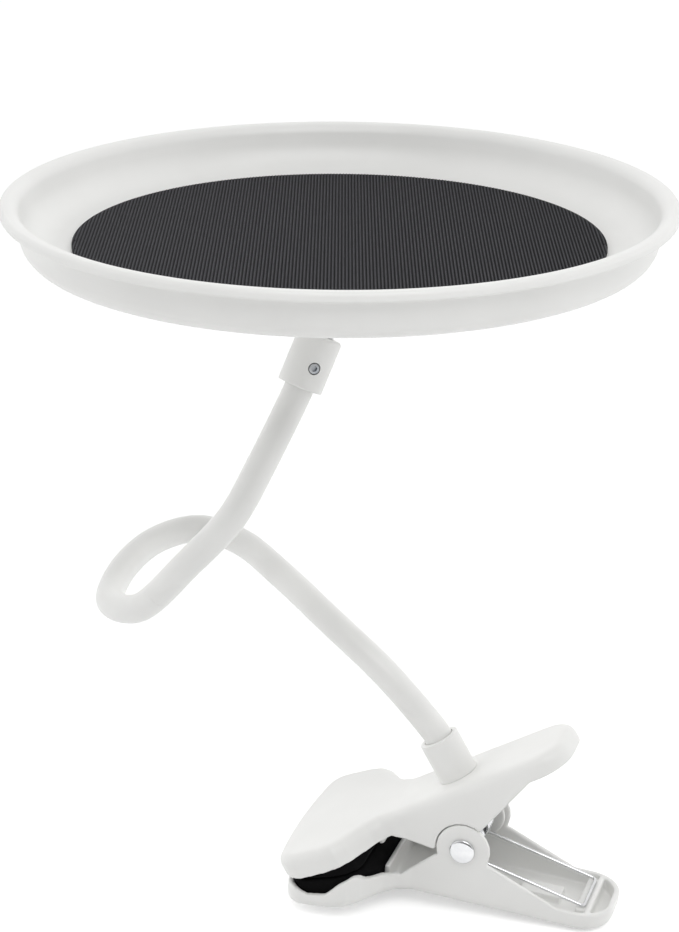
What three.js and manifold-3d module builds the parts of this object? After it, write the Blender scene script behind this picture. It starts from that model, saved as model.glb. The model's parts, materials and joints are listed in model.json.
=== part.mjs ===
// Clip-on food tray: a round dish on a bendable neck, held by a sprung clip.
// Millimetres, +Z up. The origin is the middle of the clip's mouth, +X runs along the clip from the mouth
// to the handles, and +Y runs along the clip's pivot pin.
import * as THREE from 'three';
import { mergeVertices } from 'three/addons/utils/BufferGeometryUtils.js';
import Module from 'manifold-3d';

const wasm = await Module();
wasm.setup();

// Clearances: between seated pieces, between running pieces, and round and between the neck's core links
const SEAT_GAP = 0.3;
const RUN_GAP = 0.4;
const LINK_GAP = 0.5;

// The dish and its mat
const RIM_R = 120;
const LIP_H = 3.6;
const LIP_ROUND = 1.6;
const LIP_INNER_ROUND = 4.6;
const DISH_DEPTH = 19;
const LIP_OVERHANG = 5.2;
const WALL_LEAN = 1.4;
const DISH_WALL = 1.9;
const DISH_FLOOR = 2;
const DISH_ROUND = 8;
const DISH_FILLET = 12;
const DISH_BOSS_R = 15;
const SCREW_WELL_CLEAR = 1.6;
const SCREW_WELL_FLOOR = 2;
const MAT_MARGIN = 5.6;
const MAT_T = 1.6;

// The tray's screw and washer, and the ball joint under the dish
const TRAY_SCREW_R = 1.6;
const TRAY_SCREW_HEAD_R = 3.2;
const TRAY_SCREW_HEAD_H = 1.5;
const TRAY_SCREW_SUNK = 0.1;
const WASHER_R = 5.4;
const WASHER_T = 0.6;
const BALL_R = 7.5;
const STEM_R = 2.8;
const STEM_FLANGE_R = 5;
const STEM_FLANGE_T = 1.8;
const STEM_TAIL = 3.6;
const STEM_REACH = 15.3;
const SOCKET_CEILING = 4.6;
const SOCKET_WALL = 2.3;
const SOCKET_SKIRT = 1;
const NUT_WALL = 2.2;
const NUT_RISE = 4;
const NUT_LIP = 1;
const MAX_LEAN = 33;
const LEAN_SPARE = 3;

// The neck's collars and what they hold
const UPPER_COLLAR_R = 8.4;
const LOWER_COLLAR_R = 7.8;
const COLLAR_EDGE = 1.1;
const COLLAR_SOFT_EDGE = 0.3;
const COLLAR_WEB = 3.5;
const COLLAR_LEAN = 26.5;
const COLLAR_HEADING = 230;
const CORE_STANDOFF = 0.5;
const LOWER_COLLAR_FLOOR = 3.2;
const SLEEVE_R = 5.5;
const SLEEVE_WALL = 1.1;
const SLEEVE_INSERT = 4;
const FERRULE_LEN = 8;
const SET_SCREW_R = 1.95;
const SET_SCREW_HEADING = -58;
const SET_SCREW_HEX = 2.2;
const SET_SCREW_HEX_DEPTH = 1;
const SET_SCREW_SUNK = 0.25;
const COLLAR_BOLT_R = 1.9;
const COLLAR_BOLT_HEAD_R = 3.8;
const COLLAR_BOLT_HEAD_H = 2.4;
const COLLAR_BOLT_TIP = 0.5;

// The clip's jaws, seen with X along the face and Z out of it, from the pivot: their shells differ in the
// length of the handle and in the edge along the bill
const CLIP_PITCH = 12.9;
const JAW_HALF_ANGLE = 17.3;
const FACE_OFFSET = 23.45;
const UPPER_HANDLE_END = 54;
const LOWER_HANDLE_END = 57.9;
const HANDLE_ROUND = 12.5;
const BILL_BEND = -19.5;
const BILL_TIP = -66;
const BILL_ANGLE = 8;
const BODY_WIDTH = 34.5;
const BILL_WIDTH = 75;
const FLARE_START = -18.5;
const FLARE_END = -44.5;
const BILL_CORNER = 9;
const BILL_BOW = 2;
const EDGE_ROUND = 4;
const PLATE_T = 2.3;
const WALL_T = 2.2;
const SKIRT = 7.8;
const WEB_HANDLE = 38;
const WEB_RIGHT = 10.7;
const WEB_LEFT = -10.7;
const WEB_BILL = -22.9;
const WEB_EDGE = 4.6;
const UPPER_BILL_EDGE = [[-56, 18.9]];
const LOWER_BILL_EDGE = [
  [-61, 20.6],
  [-54, 22.2],
  [-47, 20.7],
  [-42, 15.4],
  [-37.5, 12.2],
  [-35.5, 12.6],
  [-34, 14.4],
];
const BILL_RIB = -28.5;
const BILL_RIB_DEPTH = 11;
const RIB_T = 2;
const MOUTH_GAP = 2;
const MOUTH_REACH = 50;
const PAD_MEETING = 0.5;
const PAD_BACK_SLOPE = 6;
const COLLAR_PLACE = 5.8;
const COLLAR_BOSS_R = 6.6;
const COLLAR_BOSS_H = 2;

// The clip's pivot
const EAR_R = 10.5;
const BOSS_R = 8.8;
const BOSS_T = 2.2;
const BOSS_GRIP = 3.6;
const PIN_R = 2.9;
const PIN_HEAD_R = 4.85;
const PIN_HEAD_H = 1.6;
const PIN_HEAD_EDGE = 0.5;
const CAP_DEPTH = 1;

// The spring and what it bears on
const WIRE_R = 0.65;
const COIL_CLEAR = 1.05;
const COIL_PITCH = 1.9;
const SPRING_SIDE_GAP = 0.95;
const YOKE_CORNER = 1.6;
const YOKE_REACH = 47.5;
const YOKE_RISE = 5.8;
const LEG_REACH = 27;
const SEAT_BLOCK_LEN = 6;
const SEAT_BLOCK_SPARE = 1.5;
const SEAT_RIB_RISE = 1;
const KEEL_FROM = 21;
const KEEL_TO = 37;
const KEEL_HALF_WIDTH = 4.5;
const KEEL_H = 3.2;

// Where the rim's centre stands, seen from the middle of the pivot pin
const TRAY_HEIGHT = 247.3;
const TRAY_AHEAD = 53.7;
const TRAY_ASIDE = 6.8;

// Where the neck runs: its lower part from the middle of the pivot pin, its upper part from the rim's centre
const LOWER_ROUTE = [
  [-37.2, -2.6, 61.7],
  [-60, 4.8, 77],
  [-86.4, 23.5, 85.6],
  [-109.6, 40.5, 89.8],
  [-127.9, 43.7, 91.8],
  [-140.6, 31.3, 90.5],
  [-146, 8.8, 86.8],
  [-142, -15.9, 82.8],
  [-123.7, -31.2, 88.9],
];
const UPPER_ROUTE = [
  [-45.8, -33.8, -133.5],
  [-29.7, -34.2, -113],
  [-22.2, -27.1, -95.5],
];
const COLLAR_RUN = 9;
const NECK_LINKS = 5;

// How finely round forms are cut
const DISH_SIDES = 60;
const ROUND_SIDES = 20;
const SLEEVE_SIDES = 12;
const CORE_SIDES = 10;
const NECK_STEP = 6.5;
const ARC_STEPS = 3;
const CURVE_STEPS = 6;
const CURL_STEPS = 8;
const WIRE_SIDES = 5;
const LEG_STEPS = 4;
const DOME_ANGLES = [30, 60, 90];

// Corners closer than this are one corner; cutting tools reach this far; no bar starts along the slant
const SAME_CORNER = 1e-4;
const FAR = 200;
const SLANT = new THREE.Vector3(1, 2, 2).normalize();
const UP = new THREE.Vector3(0, 0, 1);
const radians = THREE.MathUtils.degToRad;

// Sizes that follow from the ones above
const halfBody = BODY_WIDTH / 2;
const halfBill = BILL_WIDTH / 2;
const plateInside = FACE_OFFSET - PLATE_T;
const plateMiddle = FACE_OFFSET - PLATE_T / 2;
const skirtEdge = FACE_OFFSET - SKIRT;
const earInside = halfBody - WALL_T;
const bossOutside = earInside - RUN_GAP;
const bossInside = bossOutside - BOSS_T;
const pinHole = PIN_R + SEAT_GAP;
const coilR = PIN_R + COIL_CLEAR + WIRE_R;
const yokeHalfWidth = bossInside - SPRING_SIDE_GAP - WIRE_R;
const collarBore = SLEEVE_R + SEAT_GAP;
const sleeveBore = SLEEVE_R - SLEEVE_WALL;
const coreR = sleeveBore - LINK_GAP;
const ferruleDepth = SLEEVE_INSERT + SEAT_GAP;
const coreInsert = ferruleDepth + FERRULE_LEN;
const upperBoreDepth = coreInsert + SEAT_GAP;
const upperCollarLen = upperBoreDepth + COLLAR_WEB + STEM_TAIL + SEAT_GAP;
const flangeLow = upperCollarLen + SEAT_GAP;
const flangeTop = flangeLow + STEM_FLANGE_T;
const upperCollarReach = flangeTop + STEM_REACH;
const collarBoltTip = LOWER_COLLAR_FLOOR + COLLAR_BOLT_TIP;
const lowerCollarLen = collarBoltTip + CORE_STANDOFF + coreInsert;
const collarBoltHole = COLLAR_BOLT_R + SEAT_GAP;
const floorTop = DISH_FLOOR - DISH_DEPTH;
const wallTopR = RIM_R - LIP_OVERHANG;
const wallFootR = wallTopR - WALL_LEAN;
const wallSlope = WALL_LEAN / (DISH_DEPTH - DISH_ROUND - LIP_H);
const dishInsideAt = (z) => wallTopR - DISH_WALL + (z + LIP_H) * wallSlope;
const filletTop = floorTop + DISH_FILLET;
const filletCentreR = dishInsideAt(filletTop) - DISH_FILLET;
const matR = filletCentreR - MAT_MARGIN;
const matTop = floorTop + SEAT_GAP + MAT_T;
const screwStack = SEAT_GAP + WASHER_T + SEAT_GAP + TRAY_SCREW_HEAD_H;
const screwWellR = WASHER_R + SCREW_WELL_CLEAR;
const wellFloor = floorTop - TRAY_SCREW_SUNK - screwStack;
const bossBottom = wellFloor - SCREW_WELL_FLOOR;
const socketTop = bossBottom - RUN_GAP;
const cavityR = BALL_R + RUN_GAP;
const socketR = cavityR + SOCKET_WALL;
const ballDrop = SOCKET_CEILING + cavityR - socketTop;
const upperAngle = CLIP_PITCH + JAW_HALF_ANGLE;
const lowerAngle = CLIP_PITCH - JAW_HALF_ANGLE;
const yokeOut = plateInside - YOKE_RISE;
const slackTip = BILL_TIP - PLATE_T;
const slackEnd = Math.max(UPPER_HANDLE_END, LOWER_HANDLE_END) + PLATE_T;

// Finishes
function finish(color, roughness, metalness = 0) {
  return new THREE.MeshStandardMaterial({ color, roughness, metalness });
}

const whitePlastic = () => finish(0xf1f1f0, 0.42);
const whiteSleeve = () => finish(0xf0f0ef, 0.5);
const blackMat = () => finish(0x1b1b1c, 0.85);
const blackFoam = () => finish(0x131314, 0.9);
const chrome = () => finish(0xdadbdc, 0.12, 1);
const zincSteel = () => finish(0xb4b6b8, 0.35, 1);
const softAlloy = () => finish(0x9a9da0, 0.45, 1);

// One closed skin: shared corners merged, collapsed faces dropped, faces pointing out
function closed(geometry) {
  const bare = geometry.clone();
  bare.deleteAttribute('normal');
  bare.deleteAttribute('uv');
  const merged = mergeVertices(bare, SAME_CORNER);
  const corners = merged.index.array;
  const place = merged.attributes.position;
  const [a, b, c] = [new THREE.Vector3(), new THREE.Vector3(), new THREE.Vector3()];
  const kept = [];
  let volume = 0;
  for (let i = 0; i < corners.length; i += 3) {
    const [p, q, r] = corners.slice(i, i + 3);
    if (p === q || q === r || r === p) continue;
    kept.push([p, q, r]);
    a.fromBufferAttribute(place, p);
    b.fromBufferAttribute(place, q);
    c.fromBufferAttribute(place, r);
    volume += a.dot(b.cross(c));
  }
  merged.setIndex(kept.flatMap(([p, q, r]) => (volume > 0 ? [p, q, r] : [p, r, q])));
  return merged;
}

// A solid that can be joined and cut
function solid(geometry) {
  const skinned = closed(geometry);
  return new wasm.Manifold(new wasm.Mesh({
    numProp: 3,
    vertProperties: new Float32Array(skinned.attributes.position.array),
    triVerts: new Uint32Array(skinned.index.array),
  }));
}

// The skin of a solid that has been joined and cut
function geometryOf(body) {
  const skin = body.getMesh();
  const geometry = new THREE.BufferGeometry();
  geometry.setAttribute('position', new THREE.BufferAttribute(new Float32Array(skin.vertProperties), 3));
  geometry.setIndex(new THREE.BufferAttribute(new Uint32Array(skin.triVerts), 1));
  return geometry;
}

function mesh(name, geometry, material) {
  const skinned = closed(geometry);
  skinned.computeVertexNormals();
  const made = new THREE.Mesh(skinned, material);
  made.name = name;
  return made;
}

// A turned form about Z, from [radius, height] pairs
function turned(profile, sides = ROUND_SIDES) {
  const points = profile.map(([r, z]) => new THREE.Vector2(r, z));
  return new THREE.LatheGeometry(points, sides).rotateX(Math.PI / 2);
}

function rod(radius, low, high, sides = ROUND_SIDES) {
  return turned([[0, low], [radius, low], [radius, high], [0, high]], sides);
}

// A turned form whose profile closes on itself, off the axis
function turnedRing(profile, sides = ROUND_SIDES) {
  return turned([...profile, profile[0]], sides);
}

// A rod along Y between two sides
function crossRod(radius, low, high) {
  return rod(radius, low, high).rotateX(-Math.PI / 2);
}

// A rod along Y on one side of the middle, between two distances from it
function sideRod(radius, sign, inside, outside) {
  const ends = [sign * inside, sign * outside];
  return crossRod(radius, Math.min(...ends), Math.max(...ends));
}

function block(low, high) {
  const size = high.map((value, axis) => value - low[axis]);
  const middle = high.map((value, axis) => (value + low[axis]) / 2);
  return new THREE.BoxGeometry(...size).translate(...middle);
}

// An outline of [x, z] pairs, drawn out along Y to the same width on both sides
function sidePrism(outline, halfWidth) {
  const shape = new THREE.Shape(outline.map(([x, z]) => new THREE.Vector2(x, z)));
  const geometry = new THREE.ExtrudeGeometry(shape, { depth: 2 * halfWidth, bevelEnabled: false });
  return geometry.translate(0, 0, -halfWidth).rotateX(Math.PI / 2);
}

// An outline of points in X and Y, drawn out along Z
function planPrism(outline, low, high) {
  const shape = new THREE.Shape(outline);
  const geometry = new THREE.ExtrudeGeometry(shape, { depth: high - low, bevelEnabled: false });
  return geometry.translate(0, 0, low);
}

// Part of a circle as [radius, height] pairs, between two angles in degrees
function arc(centreR, centreZ, radius, from, to, steps = ARC_STEPS) {
  return Array.from({ length: steps + 1 }, (_, i) => {
    const angle = radians(from + ((to - from) * i) / steps);
    return [centreR + radius * Math.cos(angle), centreZ + radius * Math.sin(angle)];
  });
}

// An outline drawn in by the same distance all round; the outline runs counter-clockwise
function drawnIn(outline, distance) {
  const count = outline.length;
  return outline.map((point, i) => {
    const before = point.clone().sub(outline[(i + count - 1) % count]).normalize();
    const after = outline[(i + 1) % count].clone().sub(point).normalize();
    const inward = new THREE.Vector2(-before.y - after.y, before.x + after.x).normalize();
    const stretch = inward.x * -after.y + inward.y * after.x;
    return point.clone().addScaledVector(inward, distance / stretch);
  });
}

// A round bar along a line of points, with each end square or, past the last point, a half ball
function bar(points, radius, sides, roundStart = false, roundEnd = false) {
  const last = points.length - 1;
  const along = points.map((_, i) => {
    const ahead = points[Math.min(i + 1, last)].clone();
    return ahead.sub(points[Math.max(i - 1, 0)]).normalize();
  });
  const side = SLANT.clone().cross(along[0]).normalize();
  const rings = [];
  const addRing = (centre, direction, r) => {
    side.addScaledVector(direction, -side.dot(direction)).normalize();
    const across = direction.clone().cross(side);
    const ring = Array.from({ length: r > 0 ? sides : 1 }, (_, k) => {
      const angle = (2 * Math.PI * k) / sides;
      const corner = centre.clone().addScaledVector(side, r * Math.cos(angle));
      return corner.addScaledVector(across, r * Math.sin(angle));
    });
    rings.push(ring);
  };
  const addEnd = (i, sign, angles) => {
    for (const angle of angles) {
      const centre = points[i].clone().addScaledVector(along[i], sign * radius * Math.sin(radians(angle)));
      addRing(centre, along[i], angle < 90 ? radius * Math.cos(radians(angle)) : 0);
    }
  };
  if (roundStart) addEnd(0, -1, [...DOME_ANGLES].reverse());
  else addRing(points[0], along[0], 0);
  points.forEach((point, i) => addRing(point, along[i], radius));
  if (roundEnd) addEnd(last, 1, DOME_ANGLES);
  else addRing(points[last], along[last], 0);

  const positions = rings.flat().flatMap((p) => [p.x, p.y, p.z]);
  const index = [];
  let first = 0;
  for (let i = 0; i + 1 < rings.length; i += 1) {
    const [countA, countB] = [rings[i].length, rings[i + 1].length];
    const [a, b] = [first, first + countA];
    for (let k = 0; k < sides; k += 1) {
      const next = (k + 1) % sides;
      if (countA > 1) index.push(a + k, a + next, b + (countB > 1 ? next : 0));
      if (countB > 1) index.push(a + (countA > 1 ? k : 0), b + next, b + k);
    }
    first += countA;
  }
  const geometry = new THREE.BufferGeometry();
  geometry.setAttribute('position', new THREE.Float32BufferAttribute(positions, 3));
  geometry.setIndex(index);
  return geometry;
}

// Clip: the jaws' shared shell

function faceAt(x) {
  return FACE_OFFSET + Math.max(0, BILL_BEND - x) * Math.tan(radians(BILL_ANGLE));
}

// Height of the plane in which the closed jaws meet
function meetingAt(x) {
  return -x * Math.tan(radians(JAW_HALF_ANGLE));
}

// Everything above the jaw's lower edge
function jawSide(billEdge) {
  return [
    [slackTip, FAR],
    [slackTip, meetingAt(slackTip) + MOUTH_GAP / 2],
    ...billEdge,
    [WEB_BILL, skirtEdge],
    [WEB_LEFT, WEB_EDGE],
    [WEB_RIGHT, WEB_EDGE],
    [WEB_HANDLE, skirtEdge],
    [slackEnd, skirtEdge],
    [slackEnd, FAR],
  ];
}

function jawHollowSide() {
  return [
    [slackTip, faceAt(slackTip) - PLATE_T],
    [slackTip, -FAR],
    [slackEnd, -FAR],
    [slackEnd, plateInside],
    [BILL_BEND, plateInside],
  ];
}

// The jaw's outline seen square to its face: slim body, rounded handle and flared bill
function jawPlan(handleEnd) {
  const shape = new THREE.Shape();
  const handleCentre = handleEnd - HANDLE_ROUND;
  const handleFlat = halfBody - HANDLE_ROUND;
  const flareReach = (FLARE_START - FLARE_END) / 2;
  const frontHalf = halfBill - BILL_CORNER;
  const frontX = BILL_TIP + BILL_BOW;
  const flareFrom = FLARE_START - flareReach;
  const flareTo = FLARE_END + flareReach;
  const cornerX = frontX + (2 * BILL_BOW * BILL_CORNER) / frontHalf;
  shape.moveTo(FLARE_START, -halfBody);
  shape.lineTo(handleCentre, -halfBody);
  shape.absarc(handleCentre, -handleFlat, HANDLE_ROUND, -Math.PI / 2, 0);
  shape.lineTo(handleEnd, handleFlat);
  shape.absarc(handleCentre, handleFlat, HANDLE_ROUND, 0, Math.PI / 2);
  shape.lineTo(FLARE_START, halfBody);
  shape.bezierCurveTo(flareFrom, halfBody, flareTo, halfBill, FLARE_END, halfBill);
  shape.lineTo(cornerX + BILL_CORNER, halfBill);
  shape.quadraticCurveTo(cornerX, halfBill, frontX, frontHalf);
  shape.quadraticCurveTo(BILL_TIP - BILL_BOW, 0, frontX, -frontHalf);
  shape.quadraticCurveTo(cornerX, -halfBill, cornerX + BILL_CORNER, -halfBill);
  shape.lineTo(FLARE_END, -halfBill);
  shape.bezierCurveTo(flareTo, -halfBill, flareFrom, -halfBody, FLARE_START, -halfBody);
  const points = shape.getPoints(CURVE_STEPS);
  return points.filter((point, i) => point.distanceTo(points[(i + 1) % points.length]) > SEAT_GAP);
}

// The outline drawn out along Z, with its edge rounded where it meets the face
function roundedPrism(outline, face) {
  const rings = arc(EDGE_ROUND, face - EDGE_ROUND, EDGE_ROUND, 180, 90, CURVE_STEPS);
  rings.unshift([0, -FAR]);
  const count = outline.length;
  const corners = rings.flatMap(([inset, z]) => drawnIn(outline, inset).map((p) => [p.x, p.y, z]));
  const cap = THREE.ShapeUtils.triangulateShape(outline, []);
  const top = (rings.length - 1) * count;
  const index = cap.flatMap(([a, b, c]) => [c, b, a, top + a, top + b, top + c]);
  for (let i = 0; i < top; i += 1) {
    const next = i % count === count - 1 ? i + 1 - count : i + 1;
    index.push(i, next, next + count, i, next + count, i + count);
  }
  const geometry = new THREE.BufferGeometry();
  geometry.setAttribute('position', new THREE.Float32BufferAttribute(corners.flat(), 3));
  geometry.setIndex(index);
  return geometry;
}

// The jaw's outline up to its face, which turns up along the bill
function jawOuter(outline) {
  const flat = solid(roundedPrism(outline, FACE_OFFSET));
  const rise = Math.tan(radians(BILL_ANGLE));
  const lift = new THREE.Matrix4().set(1, 0, 0, 0, 0, 1, 0, 0, -rise, 0, 1, BILL_BEND * rise, 0, 0, 0, 1);
  const bill = flat.trimByPlane([-1, 0, 0], -BILL_BEND).transform(lift.elements);
  return flat.trimByPlane([1, 0, 0], BILL_BEND).add(bill);
}

// A jaw's full form before it is hollowed
function jawBlank(plan, billEdge) {
  return solid(sidePrism(jawSide(billEdge), FAR)).intersect(jawOuter(plan));
}

function jawHollow(plan) {
  const inside = solid(planPrism(drawnIn(plan, WALL_T), -FAR, FAR));
  return solid(sidePrism(jawHollowSide(), FAR)).intersect(inside);
}

const upperPlan = jawPlan(UPPER_HANDLE_END);
const lowerPlan = jawPlan(LOWER_HANDLE_END);
const upperBlank = jawBlank(upperPlan, UPPER_BILL_EDGE);
const lowerBlank = jawBlank(lowerPlan, LOWER_BILL_EDGE);

// The shell with the rib that stops the grip pad's back
function jawShell(blank, plan) {
  const ribLow = faceAt(BILL_RIB) - BILL_RIB_DEPTH;
  const ribFrom = [BILL_RIB - RIB_T / 2, -halfBody, ribLow];
  const ribTo = [BILL_RIB + RIB_T / 2, halfBody, plateMiddle];
  return blank.subtract(jawHollow(plan)).add(solid(block(ribFrom, ribTo)));
}

function upperJaw() {
  let body = jawShell(upperBlank, upperPlan);
  const webDisc = EAR_R + BOSS_GRIP;
  for (const sign of [-1, 1]) {
    const boss = solid(sideRod(BOSS_R, sign, bossInside, bossOutside));
    const web = solid(sideRod(webDisc, sign, bossInside, earInside + RUN_GAP));
    const earRoom = solid(sideRod(EAR_R + RUN_GAP, sign, bossOutside, FAR));
    body = body.add(boss).add(web.intersect(upperBlank)).subtract(earRoom);
  }
  const collarSeat = rod(COLLAR_BOSS_R, plateInside - COLLAR_BOSS_H, plateMiddle);
  const collarBoss = solid(collarSeat.translate(COLLAR_PLACE, 0, 0));
  const boltHole = solid(rod(collarBoltHole, 0, FAR).translate(COLLAR_PLACE, 0, 0));
  const pinBore = solid(crossRod(pinHole, -FAR, FAR));
  return geometryOf(body.add(collarBoss).subtract(boltHole).subtract(pinBore));
}

function lowerJaw() {
  let body = jawShell(lowerBlank, lowerPlan);
  for (const sign of [-1, 1]) body = body.add(solid(sideRod(EAR_R, sign, earInside, halfBody)));
  const seatLow = yokeOut + WIRE_R + SEAT_GAP;
  const seatHalf = yokeHalfWidth + SEAT_BLOCK_SPARE;
  const seatFrom = YOKE_REACH - SEAT_BLOCK_LEN / 2;
  const ribFrom = YOKE_REACH + WIRE_R + SEAT_GAP;
  const inner = halfBody - WALL_T / 2;
  const additions = [
    block([seatFrom, -seatHalf, seatLow], [ribFrom + RIB_T / 2, seatHalf, plateMiddle]),
    block([ribFrom, -inner, yokeOut - SEAT_RIB_RISE], [ribFrom + RIB_T, inner, plateMiddle]),
    block([KEEL_FROM, -KEEL_HALF_WIDTH, plateInside - KEEL_H], [KEEL_TO, KEEL_HALF_WIDTH, plateMiddle]),
  ];
  additions.forEach((piece) => {
    body = body.add(solid(piece).intersect(lowerBlank));
  });
  return geometryOf(body.subtract(solid(crossRod(pinHole, -FAR, FAR))));
}

// A foam block that fills half of the mouth, in front of the rib
function gripPad() {
  const backX = BILL_RIB - RIB_T / 2 - SEAT_GAP;
  const top = (x) => faceAt(x) - PLATE_T - SEAT_GAP;
  const low = (x) => meetingAt(x) + PAD_MEETING / 2;
  const footX = backX - PAD_BACK_SLOPE;
  const side = [
    [slackTip, top(slackTip)],
    [slackTip, low(slackTip)],
    [footX, low(footX)],
    [backX, low(backX) + PAD_BACK_SLOPE],
    [backX, top(backX)],
  ];
  const inside = solid(planPrism(drawnIn(lowerPlan, WALL_T + SEAT_GAP), -FAR, FAR));
  return geometryOf(solid(sidePrism(side, FAR)).intersect(inside));
}

// The pin's domed head, as pairs from its edge to the middle of its crown
function headCrown(base, height) {
  const rise = height - PIN_HEAD_EDGE;
  const domeR = (PIN_HEAD_R ** 2 + rise ** 2) / (2 * rise);
  const edgeAngle = THREE.MathUtils.radToDeg(Math.acos(PIN_HEAD_R / domeR));
  return [[PIN_HEAD_R, base], ...arc(0, base + height - domeR, domeR, edgeAngle, 90)];
}

function pivotPin() {
  const seat = halfBody + SEAT_GAP;
  const tip = -seat - CAP_DEPTH;
  const profile = [[0, tip], [PIN_R, tip], [PIN_R, seat], ...headCrown(seat, PIN_HEAD_H)];
  return turned(profile).rotateX(Math.PI / 2);
}

function pinCap() {
  const seat = halfBody + SEAT_GAP;
  const well = seat + CAP_DEPTH + SEAT_GAP;
  const crown = headCrown(seat, PIN_HEAD_H + CAP_DEPTH);
  return turned([[0, well], [pinHole, well], [pinHole, seat], ...crown]).rotateX(-Math.PI / 2);
}

// Clip: the double spring, one wire from leg to leg

function alongJaw(angle, x, out) {
  return new THREE.Vector2(x, out).rotateAround(new THREE.Vector2(), radians(angle));
}

// Points of one half of the spring, from its leg under the upper handle to the middle of its yoke
function springHalf() {
  const legEnd = alongJaw(upperAngle, LEG_REACH, plateInside - SEAT_GAP - WIRE_R);
  const yoke = alongJaw(lowerAngle, YOKE_REACH, -yokeOut);
  const from = legEnd.angle() + Math.acos(coilR / legEnd.length());
  const to = yoke.angle() - Math.acos(coilR / yoke.length());
  const fullTurn = 2 * Math.PI;
  const part = THREE.MathUtils.euclideanModulo(to - from, fullTurn) / fullTurn;
  const room = (yokeHalfWidth - WIRE_R - RUN_GAP) / COIL_PITCH;
  const sweep = (part + Math.floor(room - part)) * fullTurn;
  const innerY = yokeHalfWidth - (COIL_PITCH * sweep) / fullTurn;
  const points = [];
  const onCoil = (angle) => new THREE.Vector2(coilR * Math.cos(angle), coilR * Math.sin(angle));
  const addRun = (start, end, y) => {
    for (let i = 0; i < LEG_STEPS; i += 1) {
      const p = start.clone().lerp(end, i / LEG_STEPS);
      points.push(new THREE.Vector3(p.x, y, p.y));
    }
  };
  addRun(legEnd, onCoil(from), innerY);
  const steps = Math.round((sweep / fullTurn) * CURL_STEPS);
  for (let i = 0; i <= steps; i += 1) {
    const p = onCoil(from + (sweep * i) / steps);
    points.push(new THREE.Vector3(p.x, innerY + (yokeHalfWidth - innerY) * (i / steps), p.y));
  }
  const ahead = yoke.clone().sub(onCoil(to)).normalize();
  const cornerStart = yoke.clone().addScaledVector(ahead, -YOKE_CORNER);
  const legOut = onCoil(to).addScaledVector(ahead, 2 * WIRE_R);
  addRun(legOut, cornerStart, yokeHalfWidth);
  for (let i = 0; i <= LEG_STEPS; i += 1) {
    const angle = (Math.PI / 2) * (i / LEG_STEPS);
    const p = cornerStart.clone().addScaledVector(ahead, YOKE_CORNER * Math.sin(angle));
    points.push(new THREE.Vector3(p.x, yokeHalfWidth - YOKE_CORNER * (1 - Math.cos(angle)), p.y));
  }
  return points;
}

function springPath() {
  const half = springHalf();
  const other = half.map((p) => new THREE.Vector3(p.x, -p.y, p.z)).reverse();
  return [...half, ...other];
}

// Least clear distance between two stretches of the wire that lie over half a curl apart along it
function leastSelfGap(points, wireR) {
  const curve = new THREE.CurvePath();
  points.slice(1).forEach((p, i) => curve.add(new THREE.LineCurve3(points[i], p)));
  const length = curve.getLength();
  const count = Math.ceil(length / (wireR / 2));
  const samples = Array.from({ length: count + 1 }, (_, i) => curve.getPoint(i / count));
  const apart = Math.ceil((Math.PI * coilR) / (length / count));
  let least = Infinity;
  samples.forEach((p, i) => {
    for (let k = i + apart; k < samples.length; k += 1) least = Math.min(least, p.distanceTo(samples[k]));
  });
  return least - 2 * wireR;
}

// Neck: collars, core links and sleeve

const clipTurn = new THREE.Quaternion().setFromAxisAngle(new THREE.Vector3(0, 1, 0), -radians(upperAngle));
const lowerCollarUp = UP.clone().applyQuaternion(clipTurn);
const lowerCollarBase = new THREE.Vector3(COLLAR_PLACE, 0, FACE_OFFSET).applyQuaternion(clipTurn);
const lowerCollarTop = lowerCollarBase.clone().addScaledVector(lowerCollarUp, lowerCollarLen);
const rimCentre = new THREE.Vector3(-TRAY_AHEAD, -TRAY_ASIDE, TRAY_HEIGHT);
const ballCentre = rimCentre.clone().addScaledVector(UP, -ballDrop);
const collarDown = new THREE.Vector3(
  Math.sin(radians(COLLAR_LEAN)) * Math.cos(radians(COLLAR_HEADING)),
  Math.sin(radians(COLLAR_LEAN)) * Math.sin(radians(COLLAR_HEADING)),
  -Math.cos(radians(COLLAR_LEAN)),
);
const upperCollarEnd = ballCentre.clone().addScaledVector(collarDown, upperCollarReach);

const neckLine = new THREE.CurvePath();
const neckStart = lowerCollarTop.clone().addScaledVector(lowerCollarUp, -coreInsert);
const neckEnd = upperCollarEnd.clone().addScaledVector(collarDown, -coreInsert);
neckLine.add(new THREE.LineCurve3(neckStart, lowerCollarTop));
neckLine.add(new THREE.CatmullRomCurve3([
  lowerCollarTop,
  lowerCollarTop.clone().addScaledVector(lowerCollarUp, COLLAR_RUN),
  ...LOWER_ROUTE.map((place) => new THREE.Vector3(...place)),
  ...UPPER_ROUTE.map((place) => new THREE.Vector3(...place).add(rimCentre)),
  upperCollarEnd.clone().addScaledVector(collarDown, COLLAR_RUN),
  upperCollarEnd,
]));
neckLine.add(new THREE.LineCurve3(upperCollarEnd, neckEnd));
const neckLength = neckLine.getLength();
const linkLength = neckLength / NECK_LINKS;

// The neck's line between two lengths along it
class NeckStretch extends THREE.Curve {
  constructor(from, to) {
    super();
    this.from = from;
    this.to = to;
    this.steps = Math.ceil((to - from) / NECK_STEP);
  }

  getPoint(t) {
    return neckLine.getPoint(THREE.MathUtils.lerp(this.from, this.to, t) / neckLength);
  }
}

function neckCore(link) {
  const first = link === 0;
  const last = link === NECK_LINKS - 1;
  const inset = LINK_GAP / 2 + coreR;
  const from = link * linkLength + (first ? 0 : inset);
  const to = (link + 1) * linkLength - (last ? 0 : inset);
  const stretch = new NeckStretch(from, to);
  return bar(stretch.getPoints(stretch.steps), coreR, CORE_SIDES, !first, !last);
}

function circlePath(path, radius) {
  path.absarc(0, 0, radius, 0, 2 * Math.PI);
  return path;
}

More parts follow.
